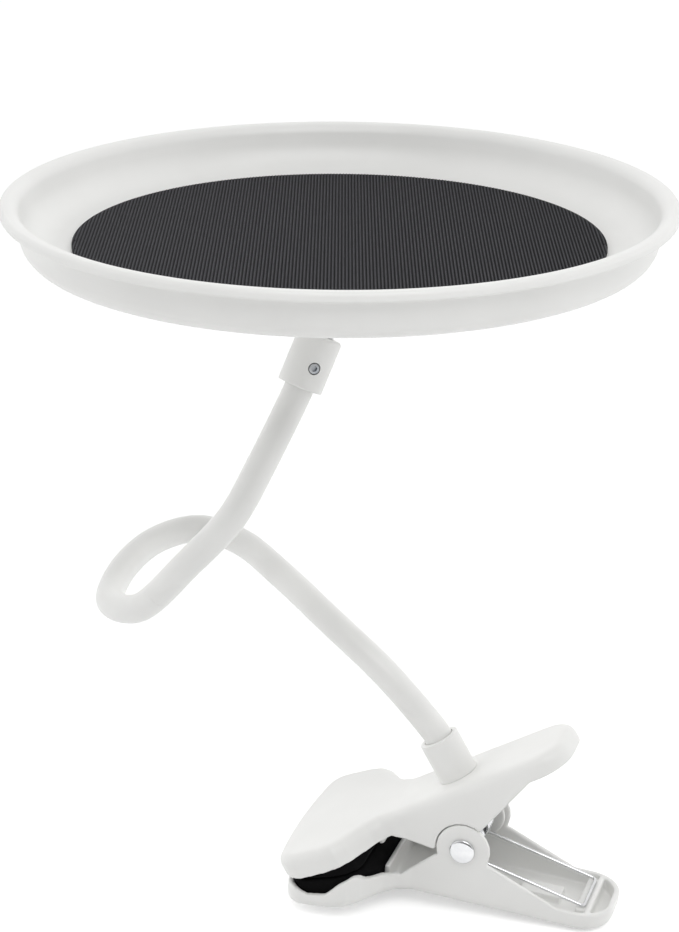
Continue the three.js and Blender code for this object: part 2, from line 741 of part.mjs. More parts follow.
// One stretch of the sleeve, from the middle of one link to the middle of the next
function neckSleeve(bend) {
  const inCollar = coreInsert - SLEEVE_INSERT;
  const from = bend === 1 ? inCollar : (bend - 0.5) * linkLength + SEAT_GAP / 2;
  const to = bend === NECK_LINKS - 1 ? neckLength - inCollar : (bend + 0.5) * linkLength - SEAT_GAP / 2;
  const stretch = new NeckStretch(from, to);
  const section = circlePath(new THREE.Shape(), SLEEVE_R);
  section.holes.push(circlePath(new THREE.Path(), sleeveBore));
  return new THREE.ExtrudeGeometry(section, {
    steps: stretch.steps,
    curveSegments: SLEEVE_SIDES / 2,
    extrudePath: stretch,
  });
}

// A collar about Z with one rounded end, from its open end at zero to its closed end
function collarProfile(length, boreDepth, tailHole, tailDepth) {
  return [
    [collarBore, 0],
    [UPPER_COLLAR_R - COLLAR_SOFT_EDGE, 0],
    [UPPER_COLLAR_R, COLLAR_SOFT_EDGE],
    ...arc(UPPER_COLLAR_R - COLLAR_EDGE, length - COLLAR_EDGE, COLLAR_EDGE, 0, 90),
    [tailHole, length],
    [tailHole, length - tailDepth],
    [0, length - tailDepth],
    [0, boreDepth],
    [collarBore, boreDepth],
  ];
}

// The upper collar about Z, with its open lower end at zero
function upperCollar() {
  const profile = collarProfile(upperCollarLen, upperBoreDepth, STEM_R + SEAT_GAP, STEM_TAIL + SEAT_GAP);
  const bored = solid(turnedRing(profile));
  const hole = solid(rod(SET_SCREW_R + SEAT_GAP, 0, FAR).applyMatrix4(setScrewPlace()));
  return geometryOf(bored.subtract(hole));
}

// Turns +Z to the set screw's outward direction, at the middle of the ferrule
function setScrewPlace() {
  const heading = radians(SET_SCREW_HEADING);
  const outward = new THREE.Vector3(Math.cos(heading), Math.sin(heading), 0);
  const turn = new THREE.Quaternion().setFromUnitVectors(UP, outward);
  const place = new THREE.Vector3(0, 0, ferruleDepth + FERRULE_LEN / 2);
  return new THREE.Matrix4().compose(place, turn, new THREE.Vector3(1, 1, 1));
}

function setScrew() {
  const tip = SLEEVE_R + SEAT_GAP;
  const top = UPPER_COLLAR_R - SET_SCREW_SUNK;
  const hex = new THREE.CylinderGeometry(SET_SCREW_HEX / 2, SET_SCREW_HEX / 2, 2 * SET_SCREW_HEX_DEPTH, 6);
  const socket = solid(hex.rotateX(Math.PI / 2).translate(0, 0, top));
  return geometryOf(solid(rod(SET_SCREW_R, tip, top)).subtract(socket)).applyMatrix4(setScrewPlace());
}

// A crimped tube round the core's end, about Z, with its mouth at the collar's open end
function ferrule() {
  const inner = coreR + SEAT_GAP;
  return turnedRing([
    [inner, ferruleDepth],
    [SLEEVE_R, ferruleDepth],
    [SLEEVE_R, coreInsert],
    [inner, coreInsert],
  ]);
}

// The lower collar about Z, standing on the jaw's face
function lowerCollar() {
  return turnedRing([
    [collarBoltHole, SEAT_GAP],
    [LOWER_COLLAR_R, SEAT_GAP],
    [LOWER_COLLAR_R, lowerCollarLen - COLLAR_SOFT_EDGE],
    [LOWER_COLLAR_R - COLLAR_SOFT_EDGE, lowerCollarLen],
    [collarBore, lowerCollarLen],
    [collarBore, LOWER_COLLAR_FLOOR],
    [collarBoltHole, LOWER_COLLAR_FLOOR],
  ]);
}

// The bolt that holds the lower collar, about Z from the jaw's face
function collarBolt() {
  const seat = -PLATE_T - COLLAR_BOSS_H - SEAT_GAP;
  return turned([
    [0, seat - COLLAR_BOLT_HEAD_H],
    [COLLAR_BOLT_HEAD_R, seat - COLLAR_BOLT_HEAD_H],
    [COLLAR_BOLT_HEAD_R, seat],
    [COLLAR_BOLT_R, seat],
    [COLLAR_BOLT_R, collarBoltTip],
    [0, collarBoltTip],
  ]);
}

// Tray: dish, mat, swivel screw and ball joint, with zero height at the rim

function trayDish() {
  const hole = TRAY_SCREW_R + RUN_GAP;
  const innerTop = dishInsideAt(-LIP_INNER_ROUND);
  return turnedRing([
    [hole, bossBottom],
    [DISH_BOSS_R, bossBottom],
    [DISH_BOSS_R, -DISH_DEPTH],
    ...arc(wallFootR - DISH_ROUND, DISH_ROUND - DISH_DEPTH, DISH_ROUND, -90, 0, 2 * ARC_STEPS),
    [wallTopR, -LIP_H],
    [RIM_R - LIP_ROUND / 2, -LIP_H],
    [RIM_R, LIP_ROUND / 2 - LIP_H],
    ...arc(RIM_R - LIP_ROUND, -LIP_ROUND, LIP_ROUND, 0, 90),
    ...arc(innerTop + LIP_INNER_ROUND, -LIP_INNER_ROUND, LIP_INNER_ROUND, 90, 180),
    ...arc(filletCentreR, filletTop, DISH_FILLET, 0, -90, 2 * ARC_STEPS),
    [screwWellR, floorTop],
    [screwWellR, wellFloor],
    [hole, wellFloor],
  ], DISH_SIDES);
}

function traySwivelScrew() {
  const headLow = wellFloor + SEAT_GAP + WASHER_T + SEAT_GAP;
  const tip = socketTop - SOCKET_CEILING + SEAT_GAP;
  return turned([
    [0, tip],
    [TRAY_SCREW_R, tip],
    [TRAY_SCREW_R, headLow],
    [TRAY_SCREW_HEAD_R, headLow],
    [TRAY_SCREW_HEAD_R, headLow + TRAY_SCREW_HEAD_H],
    [0, headLow + TRAY_SCREW_HEAD_H],
  ]);
}

function trayWasher() {
  const low = wellFloor + SEAT_GAP;
  const inner = TRAY_SCREW_R + SEAT_GAP;
  return turnedRing([[inner, low], [WASHER_R, low], [WASHER_R, low + WASHER_T], [inner, low + WASHER_T]]);
}

// The cup over the ball's upper half
function ballSocket() {
  const hole = TRAY_SCREW_R + SEAT_GAP;
  const holeAngle = THREE.MathUtils.radToDeg(Math.acos(hole / cavityR));
  return turnedRing([
    [hole, socketTop],
    ...arc(0, -ballDrop, cavityR, holeAngle, 0),
    [cavityR, -ballDrop - SOCKET_SKIRT],
    [socketR, -ballDrop - SOCKET_SKIRT],
    [socketR, socketTop],
  ]);
}

// The ring nut that holds the ball up into its cup and leaves room for the leaning stem
function socketNut() {
  const inner = socketR + SEAT_GAP;
  const outer = inner + NUT_WALL;
  const shoulder = SOCKET_SKIRT + SEAT_GAP;
  const stemAngle = THREE.MathUtils.radToDeg(Math.asin(STEM_R / cavityR));
  const shoulderAngle = -THREE.MathUtils.radToDeg(Math.asin(shoulder / cavityR));
  const mouthAngle = MAX_LEAN + stemAngle + LEAN_SPARE - 90;
  const mouthDrop = -cavityR * Math.sin(radians(mouthAngle));
  const bottom = mouthDrop + NUT_LIP;
  const mouthFlare = NUT_LIP * Math.tan(radians(MAX_LEAN));
  const mouthR = cavityR * Math.cos(radians(mouthAngle)) + mouthFlare;
  return turnedRing([
    [inner, NUT_RISE - ballDrop],
    [inner, -shoulder - ballDrop],
    ...arc(0, -ballDrop, cavityR, shoulderAngle, mouthAngle),
    [mouthR, -bottom - ballDrop],
    [outer, -bottom - ballDrop],
    [outer, NUT_RISE - ballDrop],
  ]);
}

// The ball and its stem about Z, with zero at the collar's open lower end
function ballStud() {
  const tail = upperCollarLen - STEM_TAIL;
  const stemAngle = THREE.MathUtils.radToDeg(Math.acos(STEM_R / BALL_R));
  return turned([
    [0, tail],
    [STEM_R, tail],
    [STEM_R, flangeLow],
    [STEM_FLANGE_R, flangeLow],
    [STEM_FLANGE_R, flangeTop],
    [STEM_R, flangeTop],
    ...arc(0, upperCollarReach, BALL_R, -stemAngle, 90, 2 * ARC_STEPS),
  ]);
}

// Assembly: everything is placed from the pivot pin's middle, and the whole from the mouth
const part = new THREE.Group();
const mouthAngle = radians(CLIP_PITCH);
part.position.set(MOUTH_REACH * Math.cos(mouthAngle), 0, MOUTH_REACH * Math.sin(mouthAngle));

const upperGroup = new THREE.Group();
upperGroup.quaternion.copy(clipTurn);
upperGroup.add(
  mesh('upper_jaw', upperJaw(), whitePlastic()),
  mesh('upper_grip_pad', gripPad(), blackFoam()),
);

const lowerGroup = new THREE.Group();
lowerGroup.rotation.set(Math.PI, -radians(lowerAngle), 0, 'YXZ');
lowerGroup.add(
  mesh('lower_jaw', lowerJaw(), whitePlastic()),
  mesh('lower_grip_pad', gripPad(), blackFoam()),
);

const pivotGroup = new THREE.Group();
const wire = springPath();
pivotGroup.add(
  mesh('pivot_pin', pivotPin(), chrome()),
  mesh('pin_cap', pinCap(), chrome()),
  mesh('torsion_spring', bar(wire, WIRE_R, WIRE_SIDES), chrome()),
);
console.log('torsion_spring least gap to itself, mm:', leastSelfGap(wire, WIRE_R).toFixed(2));

const lowerCollarGroup = new THREE.Group();
lowerCollarGroup.position.set(COLLAR_PLACE, 0, FACE_OFFSET);
const lowerFerrule = mesh('lower_ferrule', ferrule(), zincSteel());
lowerFerrule.rotation.x = Math.PI;
lowerFerrule.position.z = lowerCollarLen;
lowerCollarGroup.add(
  mesh('lower_collar', lowerCollar(), whitePlastic()),
  mesh('collar_bolt', collarBolt(), zincSteel()),
  lowerFerrule,
);
upperGroup.add(lowerCollarGroup);

const upperCollarGroup = new THREE.Group();
upperCollarGroup.position.copy(upperCollarEnd);
upperCollarGroup.quaternion.setFromUnitVectors(UP, collarDown.clone().negate());
upperCollarGroup.add(
  mesh('upper_collar', upperCollar(), whitePlastic()),
  mesh('collar_set_screw', setScrew(), zincSteel()),
  mesh('upper_ferrule', ferrule(), zincSteel()),
  mesh('ball_stud', ballStud(), chrome()),
);

const neckGroup = new THREE.Group();
for (let link = 0; link < NECK_LINKS; link += 1) {
  neckGroup.add(mesh(`neck_core_${link + 1}`, neckCore(link), softAlloy()));
}
for (let bend = 1; bend < NECK_LINKS; bend += 1) {
  neckGroup.add(mesh(`neck_sleeve_${bend}`, neckSleeve(bend), whiteSleeve()));
}

const trayGroup = new THREE.Group();
trayGroup.position.copy(rimCentre);
trayGroup.add(
  mesh('tray_dish', trayDish(), whitePlastic()),
  mesh('non_slip_mat', rod(matR, floorTop + SEAT_GAP, matTop, DISH_SIDES), blackMat()),
  mesh('tray_screw', traySwivelScrew(), zincSteel()),
  mesh('tray_washer', trayWasher(), zincSteel()),
  mesh('ball_socket', ballSocket(), whitePlastic()),
  mesh('socket_nut', socketNut(), whitePlastic()),
);

part.add(upperGroup, lowerGroup, pivotGroup, upperCollarGroup, neckGroup, trayGroup);

// Where the pieces turn, from the mouth: the pivot, the neck's bends, the ball and the mat's top
const bends = Array.from({ length: NECK_LINKS - 1 }, (_, i) => neckLine.getPoint((i + 1) / NECK_LINKS));
part.userData.turnsAt = {
  pivot: part.position.clone(),
  bends: bends.map((p) => p.add(part.position)),
  ball: ballCentre.clone().add(part.position),
  tiltAxis: collarDown.clone().cross(UP).normalize(),
  matTop: rimCentre.clone().add(part.position).addScaledVector(UP, matTop),
};

export default part;
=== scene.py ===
"""Dresses the clip-on tray: finer meshes, soft foam, sprung wire and the finishes of the real materials.

Everything is in metres in the frame of the solids: the origin is the middle of the clip's mouth, +X runs
from the mouth to the handles, +Y along the pivot pin and +Z up. Sizes are written in millimetres.
"""

import json
import logging
import math
from collections.abc import Sequence
from dataclasses import dataclass
from enum import Enum
from itertools import accumulate
from typing import Any

import bmesh
import bpy
from mathutils import Matrix, Vector

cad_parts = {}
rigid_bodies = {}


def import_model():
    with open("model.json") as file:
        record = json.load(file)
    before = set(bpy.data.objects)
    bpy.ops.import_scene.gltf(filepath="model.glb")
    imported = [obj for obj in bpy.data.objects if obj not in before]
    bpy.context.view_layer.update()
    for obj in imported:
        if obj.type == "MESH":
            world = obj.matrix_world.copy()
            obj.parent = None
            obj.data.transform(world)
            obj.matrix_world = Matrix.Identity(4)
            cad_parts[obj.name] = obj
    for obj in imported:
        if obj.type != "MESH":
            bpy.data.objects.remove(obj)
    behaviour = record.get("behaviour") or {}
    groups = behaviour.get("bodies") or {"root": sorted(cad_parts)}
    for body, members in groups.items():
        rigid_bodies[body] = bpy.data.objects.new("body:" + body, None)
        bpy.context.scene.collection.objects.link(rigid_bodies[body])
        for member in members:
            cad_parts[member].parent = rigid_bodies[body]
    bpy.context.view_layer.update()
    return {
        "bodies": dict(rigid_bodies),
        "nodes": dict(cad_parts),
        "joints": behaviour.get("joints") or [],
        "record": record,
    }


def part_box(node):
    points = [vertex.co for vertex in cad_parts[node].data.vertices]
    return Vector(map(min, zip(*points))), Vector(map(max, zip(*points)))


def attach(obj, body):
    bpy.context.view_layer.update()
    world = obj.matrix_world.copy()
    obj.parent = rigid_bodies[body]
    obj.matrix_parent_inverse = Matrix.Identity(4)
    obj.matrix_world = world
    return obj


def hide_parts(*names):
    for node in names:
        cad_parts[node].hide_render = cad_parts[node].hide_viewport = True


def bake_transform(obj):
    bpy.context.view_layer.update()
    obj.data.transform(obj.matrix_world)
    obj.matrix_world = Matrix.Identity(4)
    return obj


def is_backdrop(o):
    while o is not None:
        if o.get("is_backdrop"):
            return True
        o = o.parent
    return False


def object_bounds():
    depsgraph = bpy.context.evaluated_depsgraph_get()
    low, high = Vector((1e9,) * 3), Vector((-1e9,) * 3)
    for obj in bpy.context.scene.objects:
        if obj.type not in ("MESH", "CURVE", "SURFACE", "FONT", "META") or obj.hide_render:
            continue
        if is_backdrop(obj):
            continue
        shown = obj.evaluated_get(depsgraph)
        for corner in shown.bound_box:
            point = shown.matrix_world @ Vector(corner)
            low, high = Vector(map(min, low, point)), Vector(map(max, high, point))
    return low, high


LOG = logging.getLogger("clip_tray")
MM = 0.001
UP = Vector((0, 0, 1))
# Way round from -Y that the picture is taken from, in degrees. The mat's ribs point the same way.
PICTURE_TURN = 17.6
# Edges sharper than this stay sharp when shaded, in degrees.
CREASE = 35.0
# Parts that the arcs and domes in outlines are cut into.
ARC_STEPS = 20
# Sides of a key's recess.
HEX = 6
# Length of one band of the wave texture at a scale of one, in metres.
WAVE_BAND = math.tau / 20

# Radius, height and rounding of an outline's corner, in millimetres.
Corner = tuple[float, float, float]
# A place or a way in space.
Place = tuple[float, float, float]


class Body(Enum):
    """The bodies that pieces ride on."""

    CLIP = "clip"
    LOWER_JAW = "lower_jaw"
    LINK_2 = "neck_link_2"
    LINK_3 = "neck_link_3"
    LINK_4 = "neck_link_4"
    NECK_TOP = "neck_top"
    SOCKET = "ball_socket"
    TRAY = "tray"


class Slot(Enum):
    """The record's material slots."""

    PLASTIC = "white_plastic"
    SLEEVE = "white_sleeve"
    ALLOY = "soft_alloy"
    MAT = "black_mat"
    FOAM = "black_foam"
    CHROME = "chrome"
    ZINC = "zinc_steel"


def linear(code: str) -> tuple[float, float, float, float]:
    """Turns an sRGB hex colour into linear values.

    Args:
        code: Six hex digits after a hash sign.

    Returns:
        Red, green and blue as linear light, and an alpha of one.
    """
    parts = [int(code[i : i + 2], 16) / 255 for i in (1, 3, 5)]
    light = [p / 12.92 if p <= 0.04045 else ((p + 0.055) / 1.055) ** 2.4 for p in parts]
    return (*light, 1.0)


def add_node(
    tree: Any, kind: str, links: dict | None = None, values: dict | None = None, **settings: Any
) -> Any:
    """Adds a node to a tree, sets it up and links it.

    Args:
        tree: The node tree.
        kind: The node's type name.
        links: What feeds each input, by its name or number: an output, or a node for its first output.
        values: Constants by the name or number of the input that takes each one.
        **settings: Properties of the node itself.

    Returns:
        The new node.
    """
    node = tree.nodes.new(kind)
    for name, value in settings.items():
        setattr(node, name, value)
    for socket, value in (values or {}).items():
        node.inputs[socket].default_value = value
    for socket, source in (links or {}).items():
        output = source.outputs[0] if isinstance(source, bpy.types.Node) else source
        tree.links.new(output, node.inputs[socket])
    return node


def per_metre(size_mm: float) -> float:
    """Gives the texture scale that repeats at a size in millimetres."""
    return 1 / (size_mm * MM)


@dataclass(frozen=True)
class Finish:
    """A material whose colour and roughness drift in patches, with a fine relief.

    Attributes:
        name: The material's name.
        slot: The record's slot that it stands for.
        colour: Its colour as sRGB hex.
        tint: The colour that it drifts towards.
        roughness: Its roughness where it has its colour, and where it has its tint.
        metallic: One for a metal.
        ior: Index of refraction of a plastic; a metal keeps the default.
        shine: Share of the surface reflection that is left, half for a plain surface.
        patch_mm: Size of the patches.
        grain_mm: Size of the fine relief.
        relief_mm: Height of the fine relief.
        spread: Values of the pattern where the drift starts and ends.
    """

    name: str
    slot: Slot
    colour: str
    tint: str
    roughness: tuple[float, float]
    metallic: float = 0.0
    ior: float = 1.5
    shine: float = 0.5
    patch_mm: float = 30.0
    grain_mm: float = 0.4
    relief_mm: float = 0.01
    spread: tuple[float, float] = (0.35, 0.65)

    def material(self) -> bpy.types.Material:
        """Gives the material, and makes it on first use."""
        found = bpy.data.materials.get(self.name)
        return found if found else self._make()

    def _make(self) -> bpy.types.Material:
        """Builds the node tree and returns the material.

        Returns:
            The material.
        """
        material = bpy.data.materials.new(self.name)
        material.use_nodes = True
        tree = material.node_tree
        tree.nodes.clear()
        place = add_node(tree, "ShaderNodeTexCoord").outputs["Object"]
        drift, height = self._patterns(tree, place)
        ramp = add_node(tree, "ShaderNodeValToRGB", {"Fac": drift})
        for stop, position, code in zip(ramp.color_ramp.elements, self.spread, (self.colour, self.tint)):
            stop.position = position
            stop.color = linear(code)
        start, end = self.roughness
        gloss = add_node(tree, "ShaderNodeMapRange", {"Value": drift}, {"To Min": start, "To Max": end})
        bump = add_node(tree, "ShaderNodeBump", {"Height": height}, {"Distance": self.relief_mm * MM})
        values = {"Metallic": self.metallic, "Specular IOR Level": self.shine}
        if not self.metallic:
            values["IOR"] = self.ior
        links = {"Base Color": ramp, "Roughness": gloss, "Normal": bump}
        shader = add_node(tree, "ShaderNodeBsdfPrincipled", links, values)
        add_node(tree, "ShaderNodeOutputMaterial", {"Surface": shader})
        return material

    def _patterns(self, tree: Any, place: Any) -> tuple[Any, Any]:
        """Adds the cloudy patterns of the patches and of the relief.

        Args:
            tree: The material's node tree.
            place: Object coordinates.

        Returns:
            What drives the patches, and what drives the relief.
        """
        clouds = []
        for size_mm, detail in ((self.patch_mm, 2), (self.grain_mm, 1)):
            values = {"Scale": per_metre(size_mm), "Detail": detail}
            clouds.append(add_node(tree, "ShaderNodeTexNoise", {"Vector": place}, values).outputs["Fac"])
        return clouds[0], clouds[1]


@dataclass(frozen=True)
class WovenFinish(Finish):
    """A coated mesh of crossing threads, whose tops have the tint as a painted highlight and stand out.

    Attributes:
        thread_mm: Spacing of the threads.
        turn: Turn of the threads about Z, in degrees.
    """

    thread_mm: float = 1.2
    turn: float = PICTURE_TURN

    def _patterns(self, tree: Any, place: Any) -> tuple[Any, Any]:
        """Adds two crossing rows of threads, as one pattern for both uses: the painted highlight on the
        thread tops, and their relief.

        Args:
            tree: The material's node tree.
            place: Object coordinates.

        Returns:
            What drives the patches, and what drives the relief.
        """
        back = (0, 0, -math.radians(self.turn))
        laid = add_node(tree, "ShaderNodeMapping", {"Vector": place}, {"Rotation": back})
        scale = {"Scale": per_metre(self.thread_mm) * WAVE_BAND}
        rows = []
        for axis in "XY":
            settings = {"wave_type": "BANDS", "bands_direction": axis, "wave_profile": "SIN"}
            wave = add_node(tree, "ShaderNodeTexWave", {"Vector": laid}, scale, **settings)
            rows.append(wave.outputs["Fac"])
        # Brightest where the threads cross: in the colour this paints a highlight on their tops.
        woven = add_node(tree, "ShaderNodeMath", {0: rows[0], 1: rows[1]}, operation="MULTIPLY")
        return woven, woven


# Moulded ABS: a bright, slightly warm white with a satin skin from a finely eroded mould.
# The mould's grain is finer than a pixel, so it is drawn about three times too coarse.
MOULDED_ABS = Finish(
    "moulded_abs", Slot.PLASTIC, "#f1f1ef", "#eeeeec", (0.36, 0.44), ior=1.54, relief_mm=0.004
)
# Extruded PVC sleeve: the same white, smoother and a little glossier, with long faint drifts from the die.
EXTRUDED_PVC = Finish(
    "extruded_pvc", Slot.SLEEVE, "#f1f1ef", "#ededeb", (0.32, 0.4), ior=1.53, patch_mm=18, relief_mm=0.003
)
# Coated polyester mesh: near-black threads that cross, with their tops painted paler as a painted highlight
# where they would catch the light.
COATED_MESH = WovenFinish(
    "coated_mesh", Slot.MAT, "#08080a", "#67676c", (0.9, 0.7), shine=0.15, relief_mm=0.12, spread=(0.0, 1.0)
)
# Closed-cell EVA foam: black and dull, with cells of well under a millimetre.
EVA_FOAM = Finish(
    "eva_foam", Slot.FOAM, "#060607", "#0b0b0c", (0.85, 0.95), 0.0, 1.48, 0.12, grain_mm=0.7, relief_mm=0.12
)
# Chromed steel: a mirror with the slight unevenness of polished and plated small parts.
CHROMED_STEEL = Finish(
    "chromed_steel", Slot.CHROME, "#dfe0e1", "#d6d7d9", (0.05, 0.12), 1.0, patch_mm=4, relief_mm=0.002
)
# Zinc-plated steel: a duller grey metal with a faint patchy bloom.
ZINC_STEEL = Finish(
    "zinc_plated_steel", Slot.ZINC, "#b9bbbd", "#a9adb2", (0.28, 0.42), 1.0, patch_mm=3, relief_mm=0.004
)
# Drawn aluminium: soft wire with a dull drawn skin.
DRAWN_ALUMINIUM = Finish(
    "drawn_aluminium", Slot.ALLOY, "#9da0a3", "#919497", (0.4, 0.55), 1.0, patch_mm=5
)

CAD_FINISHES: dict[str, Finish] = {
    **dict.fromkeys(("tray_screw", "tray_washer", "upper_ferrule", "lower_ferrule"), ZINC_STEEL),
    **{f"neck_core_{link}": DRAWN_ALUMINIUM for link in range(1, 6)},
}


def soften(corners: Sequence[Corner], closed: bool = True, steps: int = 6) -> list[Vector]:
    """Rounds the corners of an outline.

    Args:
        corners: The corners, in order.
        closed: Whether the last corner joins the first.
        steps: Parts that each rounding is cut into.

    Returns:
        The points of the rounded outline.
    """
    points = []
    count = len(corners)
    for i, (r, z, rounding) in enumerate(corners):
        here = Vector((r, z))
        if rounding <= 0 or (not closed and i in (0, count - 1)):
            points.append(here)
            continue
        before = Vector(corners[i - 1][:2]) - here
        after = Vector(corners[(i + 1) % count][:2]) - here
        half = before.angle(after) / 2
        back = rounding / math.tan(half)
        centre = here + (before.normalized() + after.normalized()).normalized() * (back / math.cos(half))
        spoke = here + before.normalized() * back - centre
        sweep = spoke.angle_signed(here + after.normalized() * back - centre)
        for k in range(steps + 1):
            points.append(centre + Matrix.Rotation(-sweep * k / steps, 2) @ spoke)
    return points


def arc(radius: float, start: float, end: float, middle: float = 0.0) -> list[Corner]:
    """Gives corners along a circle about a height on the axis, between two angles in degrees."""
    angles = [math.radians(start + (end - start) * k / ARC_STEPS) for k in range(ARC_STEPS + 1)]
    return [(max(radius * math.cos(a), 0.0), middle + radius * math.sin(a), 0.0) for a in angles]


def plug(radius: float, low: float, high: float) -> list[Vector]:
    """Draws a plain cylinder on the axis, between two heights."""
    return [Vector(spot) for spot in ((0, low), (radius, low), (radius, high), (0, high))]


def new_piece(name: str, shape: bmesh.types.BMesh, finish: Finish) -> bpy.types.Object:
    """Turns a mesh under construction into a piece with its faces pointing out.

    Args:
        name: The piece's name.
        shape: The mesh, which is used up.
        finish: Its finish.

    Returns:
        The piece, at the origin.
    """
    bmesh.ops.remove_doubles(shape, verts=shape.verts, dist=1e-7)
    bmesh.ops.recalc_face_normals(shape, faces=shape.faces)
    mesh = bpy.data.meshes.new(name)
    shape.to_mesh(mesh)
    shape.free()
    return wrap(name, mesh, finish)


def wrap(name: str, mesh: bpy.types.Mesh, finish: Finish, crease: float = CREASE) -> bpy.types.Object:
    """Puts a finished mesh into the scene as a piece.

    Args:
        name: The piece's name.
        mesh: The mesh.
        finish: Its finish.
        crease: Edges sharper than this stay sharp when shaded, in degrees.

    Returns:
        The piece, at the origin.
    """
    mesh.materials.clear()
    mesh.materials.append(finish.material())
    mesh.polygons.foreach_set("use_smooth", [True] * len(mesh.polygons))
    mesh.set_sharp_from_angle(angle=math.radians(crease))
    piece = bpy.data.objects.new(name, mesh)
    bpy.context.scene.collection.objects.link(piece)
    return piece


def stand_in(piece: bpy.types.Object, node: str, body: Body) -> bpy.types.Object:
    """Lets a piece stand for a solid's node and ride on a body, and gives it back.

    Args:
        piece: The piece.
        node: The solid's node.
        body: The body that carries it.

    Returns:
        The same piece.
    """
    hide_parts(node)
    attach(piece, body.value)
    return piece


def turned(
    name: str, outline: list[Vector], place: Matrix, finish: Finish, sides: int = 72
) -> bpy.types.Object:
    """Turns an outline about Z into a closed piece.

    Args:
        name: The piece's name.
        outline: Radius and height of each point, in millimetres; it closes on itself or on the axis.
        place: Where the piece stands, in metres.
        finish: Its finish.
        sides: Sides of the round form.

    Returns:
        The piece.
    """
    shape = bmesh.new()
    rings = []
    for r, z in outline:
        count = 1 if r < 1e-6 else sides
        turns = [Matrix.Rotation(math.tau * k / sides, 3, "Z") for k in range(count)]
        rings.append([shape.verts.new(place @ (turn @ Vector((r, 0, z)) * MM)) for turn in turns])
    on_axis = len(rings[0]) == 1 and len(rings[-1]) == 1
    for low, high in zip(rings, rings[1:] if on_axis else rings[1:] + rings[:1]):
        for k in range(sides):
            n = k + 1
            corners = [low[k % len(low)], low[n % len(low)], high[n % len(high)], high[k % len(high)]]
            unique = list(dict.fromkeys(corners))
            if len(unique) > 2:
                shape.faces.new(unique)
    return new_piece(name, shape, finish)


def tube(name: str, line: list[Vector], radius: float, finish: Finish, sides: int) -> bpy.types.Object:
    """Sweeps a circle along a line into a closed piece.

    Args:
        name: The piece's name.
        line: The centre line's points, in metres.
        radius: The tube's radius, in millimetres.
        finish: Its finish.
        sides: Sides of the tube.

    Returns:
        The piece.
    """
    shape = bmesh.new()
    last = len(line) - 1
    angles = [math.tau * k / sides for k in range(sides)]
    # Any way that isn't along the line gives the first side.
    side = Vector((1, 2, 2)).cross(line[1] - line[0]).normalized()
    rings = []
    for i, centre in enumerate(line):
        along = (line[min(i + 1, last)] - line[max(i - 1, 0)]).normalized()
        side = (side - along * side.dot(along)).normalized()
        across = along.cross(side)
        spots = [centre + (side * math.cos(a) + across * math.sin(a)) * radius * MM for a in angles]
        rings.append([shape.verts.new(spot) for spot in spots])
    for low, high in zip(rings, rings[1:]):
        for k in range(sides):
            after = (k + 1) % sides
            shape.faces.new((low[k], low[after], high[after], high[k]))
    shape.faces.new(rings[0])
    shape.faces.new(rings[-1])
    return new_piece(name, shape, finish)


def settled(piece: bpy.types.Object) -> bpy.types.Mesh:
    """Gives a plain mesh of what a piece is once its modifiers have run."""
    depsgraph = bpy.context.evaluated_depsgraph_get()
    return bpy.data.meshes.new_from_object(piece.evaluated_get(depsgraph), depsgraph=depsgraph)


def discard(piece: bpy.types.Object) -> None:
    """Removes a helper object and its mesh.

    Args:
        piece: The object, which is used up.
    """
    mesh = piece.data
    bpy.data.objects.remove(piece)
    bpy.data.meshes.remove(mesh)


def cut(piece: bpy.types.Object, cutter: bpy.types.Object) -> None:
    """Cuts one closed piece out of another.

    Args:
        piece: The piece that is cut.
        cutter: The piece that is taken away, which is removed.
    """
    modifier = piece.modifiers.new("cut", "BOOLEAN")
    modifier.operation = "DIFFERENCE"
    modifier.solver = "EXACT"
    modifier.object = cutter
    mesh = settled(piece)
    piece.modifiers.remove(modifier)
    old = piece.data
    piece.data = mesh
    bpy.data.meshes.remove(old)
    mesh.set_sharp_from_angle(angle=math.radians(CREASE))
    discard(cutter)


def moulded(
    node: str, name: str, to_flat: Matrix, finish: Finish, voxel_mm: float, soft: int
) -> bpy.types.Object:
    """Makes a piece with softened edges from a solid.

    Args:
        node: The solid's node.
        name: The piece's name.
        to_flat: Turns the solid so that its main face lies flat.
        finish: Its finish.
        voxel_mm: Size of the cells that the skin is rebuilt from.
        soft: Rounds of smoothing, each of which softens the edges.

    Returns:
        The piece, in the solid's place.
    """
    shape = bmesh.new()
    shape.from_mesh(bpy.data.objects[node].data)
    bmesh.ops.remove_doubles(shape, verts=shape.verts, dist=1e-6)
    bmesh.ops.transform(shape, matrix=to_flat, verts=shape.verts)
    rough = new_piece(f"{name}_rough", shape, finish)
    remesh = rough.modifiers.new("remesh", "REMESH")
    remesh.mode = "VOXEL"
    remesh.voxel_size = voxel_mm * MM
    smooth = rough.modifiers.new("smooth", "SMOOTH")
    smooth.factor = 0.5
    smooth.iterations = soft
    mesh = settled(rough)
    discard(rough)
    mesh.transform(to_flat.inverted())
    mesh.name = name
    return wrap(name, mesh, finish, crease=180)


def new_tree(name: str, sizes: dict[str, float]) -> tuple[bpy.types.NodeTree, Any]:
    """Starts a geometry tree with an input for each size and one for the material.

    Args:
        name: The tree's name.
        sizes: A value for each named input; a whole number makes a whole-number input.

    Returns:
        The tree and the outputs of its input node.
    """
    tree = bpy.data.node_groups.new(name, "GeometryNodeTree")
    for label, value in sizes.items():
        kind = "NodeSocketInt" if isinstance(value, int) else "NodeSocketFloat"
        tree.interface.new_socket(label, in_out="INPUT", socket_type=kind)
    tree.interface.new_socket("Material", in_out="INPUT", socket_type="NodeSocketMaterial")
    tree.interface.new_socket("Geometry", in_out="OUTPUT", socket_type="NodeSocketGeometry")
    return tree, add_node(tree, "NodeGroupInput").outputs


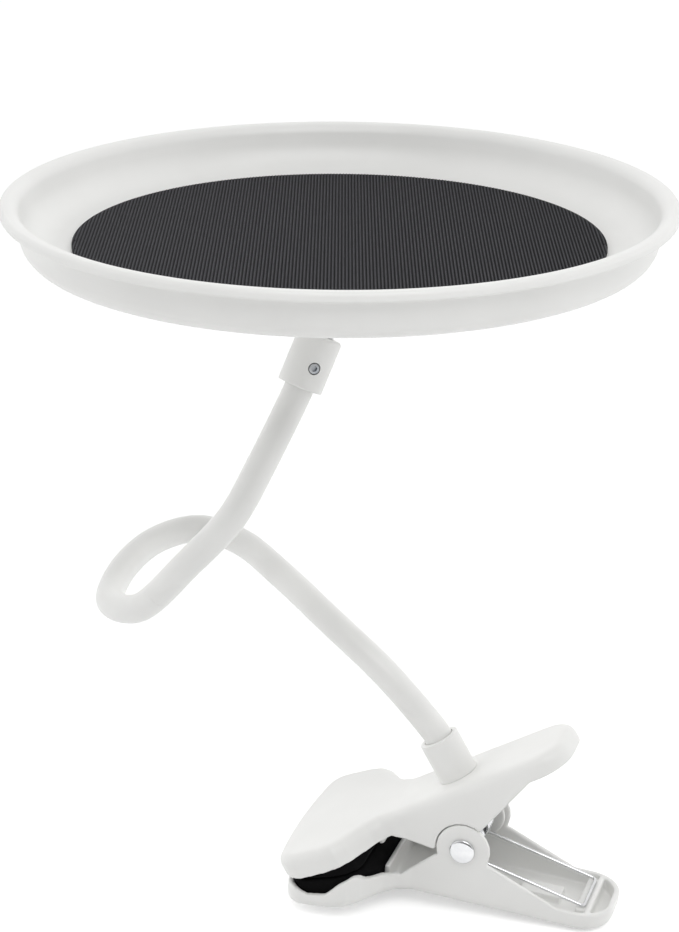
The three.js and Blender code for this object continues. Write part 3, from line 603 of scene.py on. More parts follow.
def end_tree(tree: bpy.types.NodeTree, given: Any, spots: dict, line: Any, sides: int) -> None:
    """Ends a geometry tree in round ribs that stand along a line at each spot, with the given material.

    Args:
        tree: The tree.
        given: The outputs of its input node, with the ribs' radius.
        spots: What feeds the points that carry the ribs, and their scale where it changes.
        line: The node of one rib's centre line.
        sides: Sides of a rib.
    """
    ring = add_node(tree, "GeometryNodeCurvePrimitiveCircle", {"Radius": given["Rib"]}, {"Resolution": sides})
    swept = {"Curve": line, "Profile Curve": ring}
    rib = add_node(tree, "GeometryNodeCurveToMesh", swept, {"Fill Caps": True})
    laid = add_node(tree, "GeometryNodeInstanceOnPoints", {**spots, "Instance": rib})
    real = add_node(tree, "GeometryNodeRealizeInstances", {0: laid})
    coated = add_node(tree, "GeometryNodeSetMaterial", {"Geometry": real, "Material": given["Material"]})
    add_node(tree, "NodeGroupOutput", {0: coated})


def grown(
    name: str, tree: bpy.types.NodeTree, sizes: dict[str, float], place: Matrix, finish: Finish
) -> bpy.types.Object:
    """Runs a geometry tree and keeps its result as a plain piece.

    Args:
        name: The piece's name.
        tree: The tree.
        sizes: A value for each named input.
        place: Where the result stands.
        finish: Its finish.

    Returns:
        The piece.
    """
    seed = bpy.data.objects.new(f"{name}_seed", bpy.data.meshes.new(f"{name}_seed"))
    bpy.context.scene.collection.objects.link(seed)
    modifier = seed.modifiers.new("grow", "NODES")
    modifier.node_group = tree
    values = {**sizes, "Material": finish.material()}
    for item in tree.interface.items_tree:
        if item.in_out == "INPUT":
            modifier[item.identifier] = values[item.name]
    mesh = settled(seed)
    discard(seed)
    mesh.transform(place)
    mesh.name = name
    return wrap(name, mesh, finish)


@dataclass
class Layout:
    """Where the sub-assemblies stand, with turns in degrees."""

    pivot: Vector
    ball: Vector
    rim: Vector
    clip_pitch: float = 12.9
    jaw_half_angle: float = 17.3
    # Lean of the upper collar from upright, and the way from +X that its lower end points.
    collar_lean: float = 26.5
    collar_heading: float = 230.0
    # From the collar's open end to the ball's middle.
    collar_reach: float = 37.4

    @classmethod
    def from_frame(cls, frame: dict) -> "Layout":
        """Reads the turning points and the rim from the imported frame.

        Args:
            frame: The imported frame.

        Returns:
            The layout.
        """
        places = {joint["name"]: Vector(joint["pos_m"]) for joint in frame["joints"]}
        low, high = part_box("tray_dish")
        middle = (low + high) / 2
        return cls(places["jaw_hinge"], places["tray_tilt"], Vector((middle.x, middle.y, high.z)))

    def upper_jaw(self) -> Matrix:
        """Places the upper jaw's own axes, with X along its face and Z out of it."""
        turn = math.radians(self.clip_pitch + self.jaw_half_angle)
        return Matrix.Translation(self.pivot) @ Matrix.Rotation(-turn, 4, "Y")

    def lower_jaw(self) -> Matrix:
        """Places the lower jaw's own axes, with X along its face and Z out of it.

        Returns:
            The place of the axes, in metres.
        """
        turn = math.radians(self.clip_pitch - self.jaw_half_angle)
        flip = Matrix.Rotation(math.pi, 4, "X")
        return Matrix.Translation(self.pivot) @ Matrix.Rotation(-turn, 4, "Y") @ flip

    def collar_down(self) -> Vector:
        """Gives the way that the neck leaves the upper collar.

        Returns:
            The way, of length one.
        """
        lean, heading = math.radians(self.collar_lean), math.radians(self.collar_heading)
        level = math.sin(lean)
        return Vector((level * math.cos(heading), level * math.sin(heading), -math.cos(lean)))

    def upper_collar(self) -> Matrix:
        """Places the upper collar's own axes, with Z from its open end to the ball.

        Returns:
            The place of the axes, in metres.
        """
        down = self.collar_down()
        turn = UP.rotation_difference(-down).to_matrix().to_4x4()
        return Matrix.Translation(self.ball + down * self.collar_reach * MM) @ turn


@dataclass
class Tray:
    """The dish, its mat and the ribs of the mat, with heights from the rim."""

    layout: Layout
    rim_r: float = 120.0
    lip_h: float = 3.6
    # How far the lip stands out from the wall.
    overhang: float = 5.2
    depth: float = 19.0
    # Lean of the wall, as a share of its height.
    slope: float = 1.4 / 7.4
    wall: float = 1.9
    floor: float = 2.0
    # Outlines of the boss under the floor, out from the screw's hole, and of the screw's well, back to it.
    boss: tuple[Corner, ...] = ((2.0, -21.8, 0.2), (15.0, -21.8, 0.6), (15.0, -19.0, 0.8))
    well: tuple[Corner, ...] = ((7.0, -17.0, 0.3), (7.0, -19.8, 0.2), (2.0, -19.8, 0.2))
    foot_round: float = 8.0
    # Roundings under the lip, and at its lower, upper and inner edges.
    lip_rounds: tuple[float, float, float, float] = (0.7, 1.0, 1.7, 4.6)
    # Rounding between the wall and the floor inside.
    fillet: float = 12.0
    # Outline of the mat's backing, from the middle of its underside to that of its top.
    mat: tuple[Corner, ...] = ((0, -16.7, 0), (95.0, -16.7, 0.2), (95.0, -15.46, 0.5), (0, -15.46, 0))
    rib_pitch: float = 1.2
    rib_r: float = 0.36
    # Radius of the round that the ribs fill.
    rib_reach: float = 93.8
    rib_sides: int = 8
    # Turn of the ribs about the tray's axis, in degrees.
    rib_turn: float = PICTURE_TURN

    def build(self) -> list[bpy.types.Object]:
        """Makes the tray's pieces.

        Returns:
            The dish, the mat's backing and its ribs.
        """
        place = Matrix.Translation(self.layout.rim)
        dish = turned("tray_dish_moulded", self._dish_outline(), place, MOULDED_ABS, sides=192)
        sheet = turned("mat_backing", soften(self.mat, closed=False), place, COATED_MESH, sides=144)
        ribs = self._ribs(place)
        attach(ribs, Body.TRAY.value)
        return [stand_in(dish, "tray_dish", Body.TRAY), stand_in(sheet, "non_slip_mat", Body.TRAY), ribs]

    def _outside_at(self, height: float) -> float:
        """Gives the radius of the leaning wall outside, at a height."""
        return self.rim_r - self.overhang + (height + self.lip_h) * self.slope

    def _dish_outline(self) -> list[Vector]:
        """Draws the dish's section from the screw hole out, over the lip and back along the floor.

        Returns:
            The points of the section.
        """
        floor_top = self.floor - self.depth
        under, lower, upper, inner = self.lip_rounds
        corners = [
            *self.boss,
            (self._outside_at(-self.depth), -self.depth, self.foot_round),
            (self.rim_r - self.overhang, -self.lip_h, under),
            (self.rim_r, -self.lip_h, lower),
            (self.rim_r, 0, upper),
            (self._outside_at(0) - self.wall, 0, inner),
            (self._outside_at(floor_top) - self.wall, floor_top, self.fillet),
            *self.well,
        ]
        return soften(corners, steps=12)

    def _ribs(self, place: Matrix) -> bpy.types.Object:
        """Lays ribs across the mat, each as long as the round allows.

        Args:
            place: Where the rim's centre is.

        Returns:
            The ribs as one piece.
        """
        side = int(self.rib_reach / self.rib_pitch)
        sizes = {
            "Count": 2 * side + 1,
            "Start": -side * self.rib_pitch * MM,
            "Pitch": self.rib_pitch * MM,
            "Reach": self.rib_reach * MM,
            "Rib": self.rib_r * MM,
        }
        tree, given = new_tree("mat_ribs", sizes)
        first = add_node(tree, "ShaderNodeCombineXYZ", {"X": given["Start"]})
        step = add_node(tree, "ShaderNodeCombineXYZ", {"X": given["Pitch"]})
        spaced = {"Count": given["Count"], "Start Location": first, "Offset": step}
        row = add_node(tree, "GeometryNodeMeshLine", spaced)
        spot = add_node(tree, "GeometryNodeInputPosition")
        aside = add_node(tree, "ShaderNodeSeparateXYZ", {0: spot}).outputs["X"]
        squares = [
            add_node(tree, "ShaderNodeMath", {0: length, 1: length}, operation="MULTIPLY")
            for length in (given["Reach"], aside)
        ]
        left = add_node(tree, "ShaderNodeMath", dict(enumerate(squares)), operation="SUBTRACT")
        chord = add_node(tree, "ShaderNodeMath", {0: left}, operation="SQRT")
        stretch = add_node(tree, "ShaderNodeCombineXYZ", {"Y": chord}, {"X": 1.0, "Z": 1.0})
        ends = {"Start": (0, -1, 0), "End": (0, 1, 0)}
        line = add_node(tree, "GeometryNodeCurvePrimitiveLine", values=ends)
        end_tree(tree, given, {"Points": row, "Scale": stretch}, line, self.rib_sides)
        lift = Matrix.Translation(UP * self.mat[-1][1] * MM)
        turn = Matrix.Rotation(math.radians(self.rib_turn), 4, "Z")
        return grown("mat_ribs", tree, sizes, place @ lift @ turn, COATED_MESH)


@dataclass
class BallJoint:
    """The socket, its ring nut and the ball on its stem, with heights from the ball's middle."""

    layout: Layout
    ball_r: float = 7.5
    # Radius of the space for the ball in the socket and the nut.
    cavity_r: float = 7.9
    # Outline of the socket's outside, from the cavity's edge to the screw's hole.
    socket: tuple[Corner, ...] = (
        (7.9, -1.0, 0.2),
        (10.2, -1.0, 0.2),
        (10.2, 12.5, 0.8),
        (1.9, 12.5, 0.2),
    )
    # Outlines of the nut's inside, from its top to the cavity, and of its outside, from its mouth up.
    nut_seat: tuple[Corner, ...] = ((10.5, 4.0, 0.2), (10.5, -1.3, 0))
    nut_outside: tuple[Corner, ...] = ((7.25, -5.3, 0.2), (12.7, -5.3, 0.9), (12.7, 4.0, 0.9))
    # Where the cavity gives way to the cone in the nut's mouth.
    cone_top: float = -4.3
    grips: int = 28
    grip_r: float = 0.55
    # Radius of the ring of the grips' axes, and their lowest and highest places.
    grip_ring: float = 12.45
    grip_ends: tuple[float, float] = (-4.1, 2.8)
    grip_sides: int = 10
    # Outline of the stem and its flange, from the collar's open end.
    stem: tuple[Corner, ...] = (
        (0, 16.4, 0),
        (2.8, 16.4, 0.3),
        (2.8, 20.3, 0),
        (5.0, 20.3, 0.3),
        (5.0, 22.1, 0.5),
        (2.8, 22.1, 0.4),
    )

    def build(self) -> list[bpy.types.Object]:
        """Makes the ball joint's pieces.

        Returns:
            The socket, the nut, its grips and the stud.
        """
        place = Matrix.Translation(self.layout.ball)
        socket = turned("ball_socket_cup", self._socket_outline(), place, MOULDED_ABS, sides=64)
        nut = turned("socket_ring_nut", self._nut_outline(), place, MOULDED_ABS, sides=96)
        grips = self._grips(place)
        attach(grips, Body.SOCKET.value)
        collar = self.layout.upper_collar()
        stud = turned("ball_stud_turned", self._stud_outline(), collar, CHROMED_STEEL, sides=64)
        stand_in(socket, "ball_socket", Body.SOCKET)
        stand_in(nut, "socket_nut", Body.SOCKET)
        stand_in(stud, "ball_stud", Body.NECK_TOP)
        return [socket, nut, grips, stud]

    def _socket_outline(self) -> list[Vector]:
        """Draws the cup over the ball's upper half.

        Returns:
            The points of the section.
        """
        *outside, hole = self.socket
        start = math.degrees(math.acos(hole[0] / self.cavity_r))
        return soften([hole, *arc(self.cavity_r, start, 0), *outside])

    def _nut_outline(self) -> list[Vector]:
        """Draws the ring nut, with a cone that leads into its mouth.

        Returns:
            The points of the section.
        """
        seat = self.nut_seat[-1][1]
        start, end = (math.degrees(math.asin(height / self.cavity_r)) for height in (seat, self.cone_top))
        return soften([*self.nut_seat, *arc(self.cavity_r, start, end), *self.nut_outside])

    def _stud_outline(self) -> list[Vector]:
        """Draws the stem, its flange and the ball, from the collar's open end.

        Returns:
            The points of the section.
        """
        neck = -math.degrees(math.acos(self.stem[-1][0] / self.ball_r))
        ball = arc(self.ball_r, neck, 90, self.layout.collar_reach)
        return soften([*self.stem, *ball], closed=False)

    def _grips(self, place: Matrix) -> bpy.types.Object:
        """Sets low round ribs about the nut, to turn it by.

        Args:
            place: Where the ball's middle is.

        Returns:
            The ribs as one piece.
        """
        low, high = self.grip_ends
        sizes = {
            "Count": self.grips,
            "Ring": self.grip_ring * MM,
            "Rib": self.grip_r * MM,
            "Height": (high - low) * MM,
        }
        tree, given = new_tree("nut_grips", sizes)
        ring = add_node(tree, "GeometryNodeMeshCircle", {"Vertices": given["Count"], "Radius": given["Ring"]})
        top = add_node(tree, "ShaderNodeCombineXYZ", {"Z": given["Height"]})
        line = add_node(tree, "GeometryNodeCurvePrimitiveLine", {"End": top}, {"Start": (0, 0, 0)})
        end_tree(tree, given, {"Points": ring}, line, self.grip_sides)
        return grown("socket_nut_grips", tree, sizes, place @ Matrix.Translation(UP * low * MM), MOULDED_ABS)


class Course:
    """A line that can be measured along.

    Attributes:
        points: Its points, in metres.
        lengths: The distance of each point along it.
    """

    def __init__(self, points: list[Vector]) -> None:
        """Measures a line of points."""
        self.points = points
        self.lengths = [0.0, *accumulate((q - p).length for p, q in zip(points, points[1:]))]

    def at(self, distance: float) -> Vector:
        """Gives the point at a distance along the line.

        Args:
            distance: The distance, in metres.

        Returns:
            The point.
        """
        reached = (i for i, length in enumerate(self.lengths) if length >= distance)
        k = max(1, next(reached, len(self.lengths) - 1))
        share = (distance - self.lengths[k - 1]) / (self.lengths[k] - self.lengths[k - 1])
        return self.points[k - 1].lerp(self.points[k], share)


@dataclass
class Neck:
    """The sleeve and the collars at its ends."""

    layout: Layout
    # Points that the neck passes: lower ones from the pivot, upper ones from the rim's centre.
    lower_route: tuple[Place, ...] = (
        (-35.8, -2.1, 61.9),
        (-60, 4.9, 77.2),
        (-86, 23.5, 85.2),
        (-109.6, 40.5, 89.8),
        (-127.9, 43.7, 91.8),
        (-140.6, 31.3, 90.5),
        (-146, 8.8, 86.8),
        (-142, -15.9, 82.8),
        (-123.7, -31.2, 88.9),
    )
    upper_route: tuple[Place, ...] = (
        (-46.2, -33.8, -133.3),
        (-29.2, -34.1, -113.2),
        (-21.1, -26.9, -95.8),
    )
    # The links that the neck bends between, from the clip up.
    bodies: tuple[Body, ...] = (Body.CLIP, Body.LINK_2, Body.LINK_3, Body.LINK_4, Body.NECK_TOP)
    # Straight run out of each collar, and how far the core and the sleeve go into it.
    collar_run: float = 2.0
    insert: float = 12.3
    sleeve_insert: float = 4.0
    sleeve_r: float = 5.5
    # Spacing of the sleeve's rings.
    step: float = 1.2
    # Parts that the line is cut into between two points of the route.
    curve_steps: int = 60
    # Length about each bend whose end points are found, though nothing uses them.
    bend_span: float = 50.0
    # Place of the lower collar along the upper jaw, and height of the jaw's face above the pivot.
    collar_place: float = 5.8
    face: float = 23.45
    lower_len: float = 16.5
    # Outlines of the lower collar and its bolt, from the jaw's face, and the key's recess.
    lower: tuple[Corner, ...] = (
        (2.2, 0.05, 0),
        (7.8, 0.05, 0.1),
        (7.8, 16.5, 0.5),
        (5.8, 16.5, 0.3),
        (5.8, 3.2, 0),
        (2.2, 3.2, 0),
    )
    bolt: tuple[Corner, ...] = (
        (0, -7.0, 0),
        (3.8, -7.0, 0.9),
        (3.8, -4.6, 0.2),
        (1.9, -4.6, 0),
        (1.9, 3.7, 0.4),
        (0, 3.7, 0),
    )
    bolt_key: tuple[float, float, float] = (1.5, -8.0, -5.8)
    # Outline of the upper collar, from its open end.
    upper: tuple[Corner, ...] = (
        (5.8, 0, 0.2),
        (8.4, 0, 0.5),
        (8.4, 20.0, 1.6),
        (3.1, 20.0, 0.2),
        (3.1, 16.1, 0),
        (0.4, 16.1, 0),
        (0.4, 12.6, 0),
        (5.8, 12.6, 0),
    )
    # Way that the set screw points round the collar, in degrees, and its height.
    screw_heading: float = -58.0
    screw_place: float = 8.3
    # Bore, outline and recess of the set screw, from the collar's axis.
    screw_bore: tuple[float, float, float] = (2.25, 5.7, 12.0)
    screw: tuple[Corner, ...] = ((0, 5.85, 0), (1.95, 5.85, 0.1), (1.95, 8.15, 0.25), (0, 8.15, 0))
    screw_key: tuple[float, float, float] = (1.1, 7.15, 9.0)

    def build(self) -> list[bpy.types.Object]:
        """Makes the sleeve's stretches and the collars."""
        return [*self._sleeves(), *self._lower_collar(), *self._upper_collar()]

    def _line(self) -> list[Vector]:
        """Gives closely spaced points along the whole neck, from core end to core end.

        Returns:
            The points, in metres.
        """
        jaw = self.layout.upper_jaw()
        low_up = jaw.to_3x3() @ UP
        low_top = jaw @ (Vector((self.collar_place, 0, self.face + self.lower_len)) * MM)
        down = self.layout.collar_down()
        high_end = self.layout.upper_collar().translation
        stops = [low_top, low_top + low_up * self.collar_run * MM]
        stops += [self.layout.pivot + Vector(p) * MM for p in self.lower_route]
        stops += [self.layout.rim + Vector(p) * MM for p in self.upper_route]
        stops += [high_end + down * self.collar_run * MM, high_end]
        first = low_top - low_up * self.insert * MM
        last = high_end - down * self.insert * MM
        return [first, *self._through(stops), last]

    def _through(self, stops: list[Vector]) -> list[Vector]:
        """Draws a centripetal curve through stops, as closely spaced points from the first to the last.

        Args:
            stops: The stops, in order.

        Returns:
            The points of the curve.
        """
        ends = [2 * stops[0] - stops[1], *stops, 2 * stops[-1] - stops[-2]]
        points = []
        for a, b, c, d in zip(ends, ends[1:], ends[2:], ends[3:]):
            before, here, after = ((q - p).length ** 0.5 for p, q in ((a, b), (b, c), (c, d)))
            leave = ((b - a) / before - (c - a) / (before + here) + (c - b) / here) * here
            arrive = ((c - b) / here - (d - b) / (here + after) + (d - c) / after) * here
            square = -3 * b + 3 * c - 2 * leave - arrive
            cube = 2 * b - 2 * c + leave + arrive
            for k in range(self.curve_steps):
                t = k / self.curve_steps
                points.append(b + leave * t + (square * t**2 + cube * t**3))
        return [*points, stops[-1]]

    def _sleeves(self) -> list[bpy.types.Object]:
        """Makes one stretch of the sleeve about each bend.

        Returns:
            The stretches, from the clip up.
        """
        course = Course(self._line())
        whole = course.lengths[-1]
        link = whole / len(self.bodies)
        free = (self.insert - self.sleeve_insert) * MM
        half = self.bend_span * MM / 2
        pieces = []
        for bend, (before, after) in enumerate(zip(self.bodies, self.bodies[1:]), start=1):
            first = free if bend == 1 else (bend - 0.5) * link
            last = whole - free if after is Body.NECK_TOP else (bend + 0.5) * link
            count = math.ceil((last - first) / (self.step * MM))
            spots = [course.at(first + (last - first) * k / count) for k in range(count + 1)]
            piece = tube(f"neck_sleeve_smooth_{bend}", spots, self.sleeve_r, EXTRUDED_PVC, sides=40)
            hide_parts(f"neck_sleeve_{bend}")
            start, end = course.at(bend * link + half), course.at(bend * link - half)
            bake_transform(piece)
            pieces.append(piece)
        return pieces

    def _lower_collar(self) -> list[bpy.types.Object]:
        """Makes the collar that stands on the upper jaw, and its bolt.

        Returns:
            The collar and the bolt.
        """
        stands = Vector((self.collar_place, 0, self.face)) * MM
        place = self.layout.upper_jaw() @ Matrix.Translation(stands)
        collar = turned("lower_collar_turned", soften(self.lower), place, MOULDED_ABS)
        bolt = turned("collar_bolt_turned", soften(self.bolt, closed=False), place, ZINC_STEEL, sides=48)
        cut(bolt, turned("bolt_key", plug(*self.bolt_key), place, ZINC_STEEL, sides=HEX))
        return [stand_in(collar, "lower_collar", Body.CLIP), stand_in(bolt, "collar_bolt", Body.CLIP)]

    def _upper_collar(self) -> list[bpy.types.Object]:
        """Makes the collar at the neck's top, bored for its set screw, and the screw.

        Returns:
            The collar and the screw.
        """
        place = self.layout.upper_collar()
        collar = turned("upper_collar_turned", soften(self.upper), place, MOULDED_ABS, sides=96)
        heading = math.radians(self.screw_heading)
        outward = Vector((math.cos(heading), math.sin(heading), 0))
        aim = UP.rotation_difference(outward).to_matrix().to_4x4()
        aimed = place @ Matrix.Translation(UP * self.screw_place * MM) @ aim
        cut(collar, turned("screw_bore", plug(*self.screw_bore), aimed, MOULDED_ABS, sides=48))
        screw = turned("set_screw_turned", soften(self.screw, closed=False), aimed, ZINC_STEEL, sides=48)
        cut(screw, turned("screw_key", plug(*self.screw_key), aimed, ZINC_STEEL, sides=HEX))
        stand_in(collar, "upper_collar", Body.NECK_TOP)
        stand_in(screw, "collar_set_screw", Body.NECK_TOP)
        return [collar, screw]


@dataclass
class Clip:
    """The jaws, their foam pads, the pivot pin and the spring."""

    layout: Layout
    # Cells that the skins of the jaws and pads are rebuilt from, and rounds of smoothing.
    jaw_cell: float = 0.5
    jaw_soft: int = 6
    pad_cell: float = 0.6
    pad_soft: int = 12
    # Outlines of the pin, from its far end to its head, and of the cap's bore, from its bottom out.
    shank: tuple[Corner, ...] = ((0, -18.35, 0), (2.9, -18.35, 0.4), (2.9, 17.35, 0))
    bore: tuple[Corner, ...] = ((0, 18.65, 0), (3.2, 18.65, 0), (3.2, 17.35, 0.1))
    head_r: float = 4.85
    head_edge: float = 0.5
    head_round: float = 0.1
    head_h: float = 1.6
    cap_h: float = 2.6
    # How square the domes are in section, less than one for square.
    dome_power: float = 2 / 3
    wire_r: float = 0.65
    wire_sides: int = 14
    # Radius of the coils at the middle of the wire, spacing of their curls, and whole turns of each.
    coil_r: float = 4.6
    coil_pitch: float = 1.9
    coil_turns: int = 4
    # Parts that a turn of the wire is cut into.
    turn_steps: int = 36
    # Place of the legs' ends along the upper jaw and out of it.
    leg: tuple[float, float] = (27.0, 20.2)
    leg_steps: int = 16
    # Place of the yoke's crossbar along the lower jaw and out of it.
    yoke: tuple[float, float] = (47.5, -15.35)
    yoke_half: float = 10.85
    yoke_corner: float = 1.6
    yoke_steps: int = 24
    corner_steps: int = 8

    def build(self) -> list[bpy.types.Object]:
        """Makes the clip's pieces.

        Returns:
            The jaws, the pads, the pin, its cap and the spring.
        """
        jaws = self._mouldings("jaw", "jaw_moulded", MOULDED_ABS, self.jaw_cell, self.jaw_soft)
        pads = self._mouldings("grip_pad", "foam_pad", EVA_FOAM, self.pad_cell, self.pad_soft)
        return [*jaws, *pads, *self._pin(), self._spring()]

    def _mouldings(
        self, node: str, name: str, finish: Finish, cell: float, soft: int
    ) -> list[bpy.types.Object]:
        """Makes a piece with soft edges on the upper jaw, and its like on the lower one.

        Args:
            node: What the solids' nodes are called after the jaw's side.
            name: What the pieces are called after the jaw's side.
            finish: Their finish.
            cell: Size of the cells that their skins are rebuilt from.
            soft: Rounds of smoothing.

        Returns:
            The upper piece and the lower one.
        """
        sides = {
            "upper": (self.layout.upper_jaw(), Body.CLIP),
            "lower": (self.layout.lower_jaw(), Body.LOWER_JAW),
        }
        pieces = []
        for side, (place, body) in sides.items():
            piece = moulded(f"{side}_{node}", f"{side}_{name}", place.inverted(), finish, cell, soft)
            pieces.append(stand_in(piece, f"{side}_{node}", body))
        return pieces

    def _crown(self, base: float, height: float) -> list[Corner]:
        """Gives the corners of a low domed head with a round edge, from its seat to its middle.

        Args:
            base: Height of its seat.
            height: Its height above that.

        Returns:
            The corners.
        """
        rise = height - self.head_edge
        corners = [(self.head_r, base, self.head_round)]
        for k in range(ARC_STEPS):
            angle = math.pi / 2 * k / ARC_STEPS
            across, up = math.cos(angle) ** self.dome_power, math.sin(angle) ** self.dome_power
            corners.append((self.head_r * across, base + self.head_edge + rise * up, 0.0))
        return [*corners, (0.0, base + height, 0.0)]

    def _pin(self) -> list[bpy.types.Object]:
        """Makes the pin with its domed head, and the cap on its far end.

        Returns:
            The pin and the cap.
        """
        centre = Matrix.Translation(self.layout.pivot)
        makes = (
            ("pivot_pin", self.shank, self.head_h, math.pi / 2),
            ("pin_cap", self.bore, self.cap_h, -math.pi / 2),
        )
        pieces = []
        for node, inside, height, turn in makes:
            outline = soften([*inside, *self._crown(inside[-1][1], height)], closed=False)
            place = centre @ Matrix.Rotation(turn, 4, "X")
            piece = turned(f"{node}_turned", outline, place, CHROMED_STEEL)
            pieces.append(stand_in(piece, node, Body.CLIP))
        return pieces

    def _along(self, angle: float, spot: tuple[float, float]) -> Vector:
        """Gives a place in the clip's side view, from the pivot.

        Args:
            angle: Turn of the jaw, in degrees.
            spot: Distance along the jaw and out of it.

        Returns:
            The place.
        """
        turn = math.radians(angle)
        x, out = spot
        return Vector((x * math.cos(turn) - out * math.sin(turn), x * math.sin(turn) + out * math.cos(turn)))

    def _coil_at(self, angle: float) -> Vector:
        """Gives a place on the coil in the clip's side view, from the pivot."""
        return Vector((math.cos(angle), math.sin(angle))) * self.coil_r

    def _half_wire(self) -> list[Vector]:
        """Gives one half of the spring's line in millimetres, from its upper leg to the yoke's middle.

        Returns:
            The points, from the pivot.
        """
        pitch, half = self.layout.clip_pitch, self.layout.jaw_half_angle
        leg, yoke = self._along(pitch + half, self.leg), self._along(pitch - half, self.yoke)
        start = math.atan2(leg.y, leg.x) + math.acos(self.coil_r / leg.length)
        end = math.atan2(yoke.y, yoke.x) - math.acos(self.coil_r / yoke.length)
        sweep = (end - start) % math.tau + self.coil_turns * math.tau
        inner = self.yoke_half - self.coil_pitch * sweep / math.tau
        spots = [(leg.lerp(self._coil_at(start), k / self.leg_steps), inner) for k in range(self.leg_steps)]
        steps = round(sweep / math.tau * self.turn_steps)
        for k in range(steps + 1):
            aside = inner + (self.yoke_half - inner) * k / steps
            spots.append((self._coil_at(start + sweep * k / steps), aside))
        ahead = (yoke - self._coil_at(end)).normalized()
        corner = yoke - ahead * self.yoke_corner
        for k in range(1, self.yoke_steps):
            spots.append((self._coil_at(end).lerp(corner, k / self.yoke_steps), self.yoke_half))
        for k in range(self.corner_steps + 1):
            angle = math.pi / 2 * k / self.corner_steps
            aside = self.yoke_half - self.yoke_corner * (1 - math.cos(angle))
            spots.append((corner + ahead * self.yoke_corner * math.sin(angle), aside))
        return [Vector((spot.x, aside, spot.y)) for spot, aside in spots]

    def _spring(self) -> bpy.types.Object:
        """Makes the spring as one wire that winds up between the jaws.

        Returns:
            The spring.
        """
        half = self._half_wire()
        other = [Vector((p.x, -p.y, p.z)) for p in reversed(half)]
        pivot = self.layout.pivot
        line = [pivot + p * MM for p in (*half, *other)]
        spring = tube("torsion_spring_wire", line, self.wire_r, CHROMED_STEEL, sides=self.wire_sides)
        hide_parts("torsion_spring")
        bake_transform(spring)
        return spring


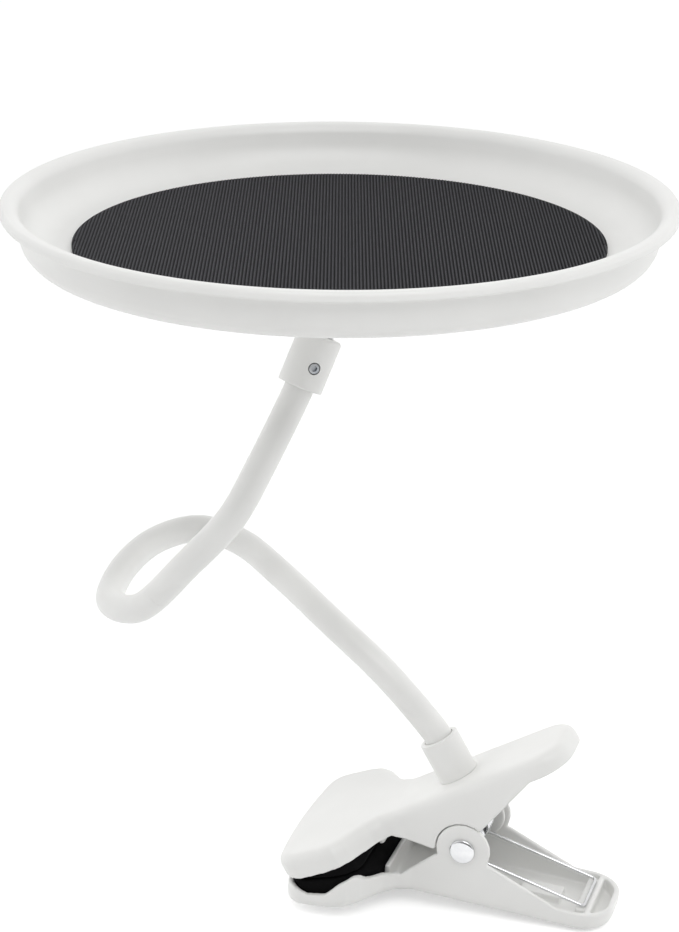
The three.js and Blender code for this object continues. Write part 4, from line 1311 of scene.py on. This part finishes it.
@dataclass
class Studio:
    """The floor, the light and the camera."""

    layout: Layout
    camera_from_rim: Place = (264.07, -830.8, 223.93)
    looks: Place = (-0.2832, 0.8928, -0.3502)
    # Turn about the way that the camera looks, in radians.
    roll: float = 0.007
    focal_px: float = 2530.0
    picture_h: float = 932.0
    sensor_mm: float = 24.0
    # Space under the object in millimetres, and reach of the floor from its middle in metres.
    floor_drop: float = 0.3
    floor_reach: float = 12.0
    paper: str = "#f4f4f4"
    # Light that the floor adds where it is seen directly.
    paper_glow: float = 0.42
    # Turn of the light tent about Z, in degrees.
    tent_turn: float = PICTURE_TURN
    # Light from its right side, its back and its top.
    tent: Place = (1.65, 1.76, 0.0)
    # Light from its left side, its open front and below.
    tent_other: Place = (1.62, 0.0, 0.0)
    # Share of the white that metal doesn't see in the open front.
    opening: float = 0.9
    # Place, aim and side of the soft lamp in metres, and its power in watts.
    lamp_at: Place = (0.4, -0.75, 1.35)
    lamp_aim: Place = (0.0, 0.0, 0.12)
    lamp_size: float = 1.1
    lamp_power: float = 9.5

    def build(self) -> None:
        """Sets up the whole studio."""
        self._camera()
        self._floor()
        self._world()
        self._lamp()
        bpy.context.scene.view_settings.view_transform = "Standard"

    def _camera(self) -> None:
        """Stands the camera where the picture was taken from."""
        data = bpy.data.cameras.new("picture_camera")
        data.sensor_fit = "VERTICAL"
        data.sensor_height = self.sensor_mm
        data.lens = self.focal_px / self.picture_h * data.sensor_height
        data.clip_start = 0.01
        camera = bpy.data.objects.new("picture_camera", data)
        turn = Vector(self.looks).to_track_quat("-Z", "Y").to_matrix().to_4x4()
        place = Matrix.Translation(self.layout.rim + Vector(self.camera_from_rim) * MM)
        camera.matrix_world = place @ turn @ Matrix.Rotation(self.roll, 4, "Z")
        bpy.context.scene.collection.objects.link(camera)
        bpy.context.scene.camera = camera

    def _floor(self) -> None:
        """Lays a plain pale floor under the clip."""
        low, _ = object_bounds()
        level = low[2] - self.floor_drop * MM
        side = self.floor_reach
        corners = [(-side, -side, level), (side, -side, level), (side, side, level), (-side, side, level)]
        mesh = bpy.data.meshes.new("floor")
        mesh.from_pydata(corners, [], [(0, 1, 2, 3)])
        # Painted paper: plain and matt, a little brighter where it is seen than where it lights the object.
        material = bpy.data.materials.new("painted_paper")
        material.use_nodes = True
        tree = material.node_tree
        tree.nodes.clear()
        paper = add_node(tree, "ShaderNodeBsdfDiffuse", values={"Color": linear(self.paper)})
        glow = add_node(tree, "ShaderNodeEmission", values={"Strength": self.paper_glow})
        lit = add_node(tree, "ShaderNodeAddShader", {0: paper, 1: glow})
        mixed = add_node(tree, "ShaderNodeMixShader", {0: self._seen_directly(tree), 1: paper, 2: lit})
        add_node(tree, "ShaderNodeOutputMaterial", {"Surface": mixed})
        mesh.materials.append(material)
        floor = bpy.data.objects.new("floor", mesh)
        bpy.context.scene.collection.objects.link(floor)
        floor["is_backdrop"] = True

    def _seen_directly(self, tree: Any) -> Any:
        """Adds a switch that is one for rays from the camera, off metal and through glass.

        Args:
            tree: The node tree.

        Returns:
            The node of the switch.
        """
        path = add_node(tree, "ShaderNodeLightPath").outputs
        links = {0: path["Is Camera Ray"], 1: path["Is Glossy Ray"]}
        first = add_node(tree, "ShaderNodeMath", links, operation="MAXIMUM")
        links = {0: first, 1: path["Is Transmission Ray"]}
        return add_node(tree, "ShaderNodeMath", links, operation="MAXIMUM")

    def _world(self) -> None:
        """Lights the object from a white tent with an open front, and shows a white background."""
        world = bpy.data.worlds.new("studio")
        world.use_nodes = True
        tree = world.node_tree
        tree.nodes.clear()
        way = add_node(tree, "ShaderNodeTexCoord").outputs["Generated"]
        back = {"Angle": -math.radians(self.tent_turn)}
        way = add_node(tree, "ShaderNodeVectorRotate", {"Vector": way}, back, rotation_type="Z_AXIS")
        sides = {}
        for number, (half, strengths) in enumerate((("MAXIMUM", self.tent), ("MINIMUM", self.tent_other))):
            facing = add_node(tree, "ShaderNodeVectorMath", {0: way}, operation=half)
            share = add_node(tree, "ShaderNodeVectorMath", {0: facing, 1: facing}, operation="MULTIPLY")
            faced = {1: strengths}
            light = add_node(tree, "ShaderNodeVectorMath", {0: share}, faced, operation="DOT_PRODUCT")
            sides[number] = light.outputs["Value"]
        level = add_node(tree, "ShaderNodeMath", sides, operation="ADD")
        tent = add_node(tree, "ShaderNodeBackground", {"Strength": level}, {"Color": (1, 1, 1, 1)})
        front = {1: (0, self.opening, 0)}
        hole = add_node(tree, "ShaderNodeVectorMath", {0: share}, front, operation="DOT_PRODUCT")
        glossy = add_node(tree, "ShaderNodeLightPath").outputs["Is Glossy Ray"]
        links = {0: hole.outputs["Value"], 1: glossy}
        dark = add_node(tree, "ShaderNodeMath", links, operation="MULTIPLY")
        left = add_node(tree, "ShaderNodeMath", {1: dark}, {0: 1.0}, operation="SUBTRACT")
        white = add_node(tree, "ShaderNodeBackground", {"Strength": left}, {"Color": (1, 1, 1, 1)})
        mixed = add_node(tree, "ShaderNodeMixShader", {0: self._seen_directly(tree), 1: tent, 2: white})
        add_node(tree, "ShaderNodeOutputWorld", {"Surface": mixed})
        bpy.context.scene.world = world

    def _lamp(self) -> None:
        """Hangs a soft square lamp that faces the object."""
        data = bpy.data.lights.new("key_softbox", "AREA")
        data.size = self.lamp_size
        data.energy = self.lamp_power
        lamp = bpy.data.objects.new("key_softbox", data)
        way = Vector(self.lamp_aim) - Vector(self.lamp_at)
        turn = way.to_track_quat("-Z", "Y").to_matrix().to_4x4()
        lamp.matrix_world = Matrix.Translation(self.lamp_at) @ turn
        bpy.context.scene.collection.objects.link(lamp)


def coat_solids(frame: dict) -> None:
    """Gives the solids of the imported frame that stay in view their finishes.

    Args:
        frame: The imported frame.
    """
    for node, finish in CAD_FINISHES.items():
        solid = frame["nodes"][node]
        solid.data.materials.clear()
        solid.data.materials.append(finish.material())


def main() -> None:
    """Builds the studio and the sub-assemblies in order, and logs the faces of each piece."""
    logging.basicConfig(level=logging.INFO, format="%(name)s: %(message)s")
    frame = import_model()
    layout = Layout.from_frame(frame)
    Studio(layout).build()
    coat_solids(frame)
    for assembly in (Tray(layout), BallJoint(layout), Neck(layout), Clip(layout)):
        for piece in assembly.build():
            LOG.info("%s: %d faces", piece.name, len(piece.data.polygons))


if __name__ == "__main__":
    main()
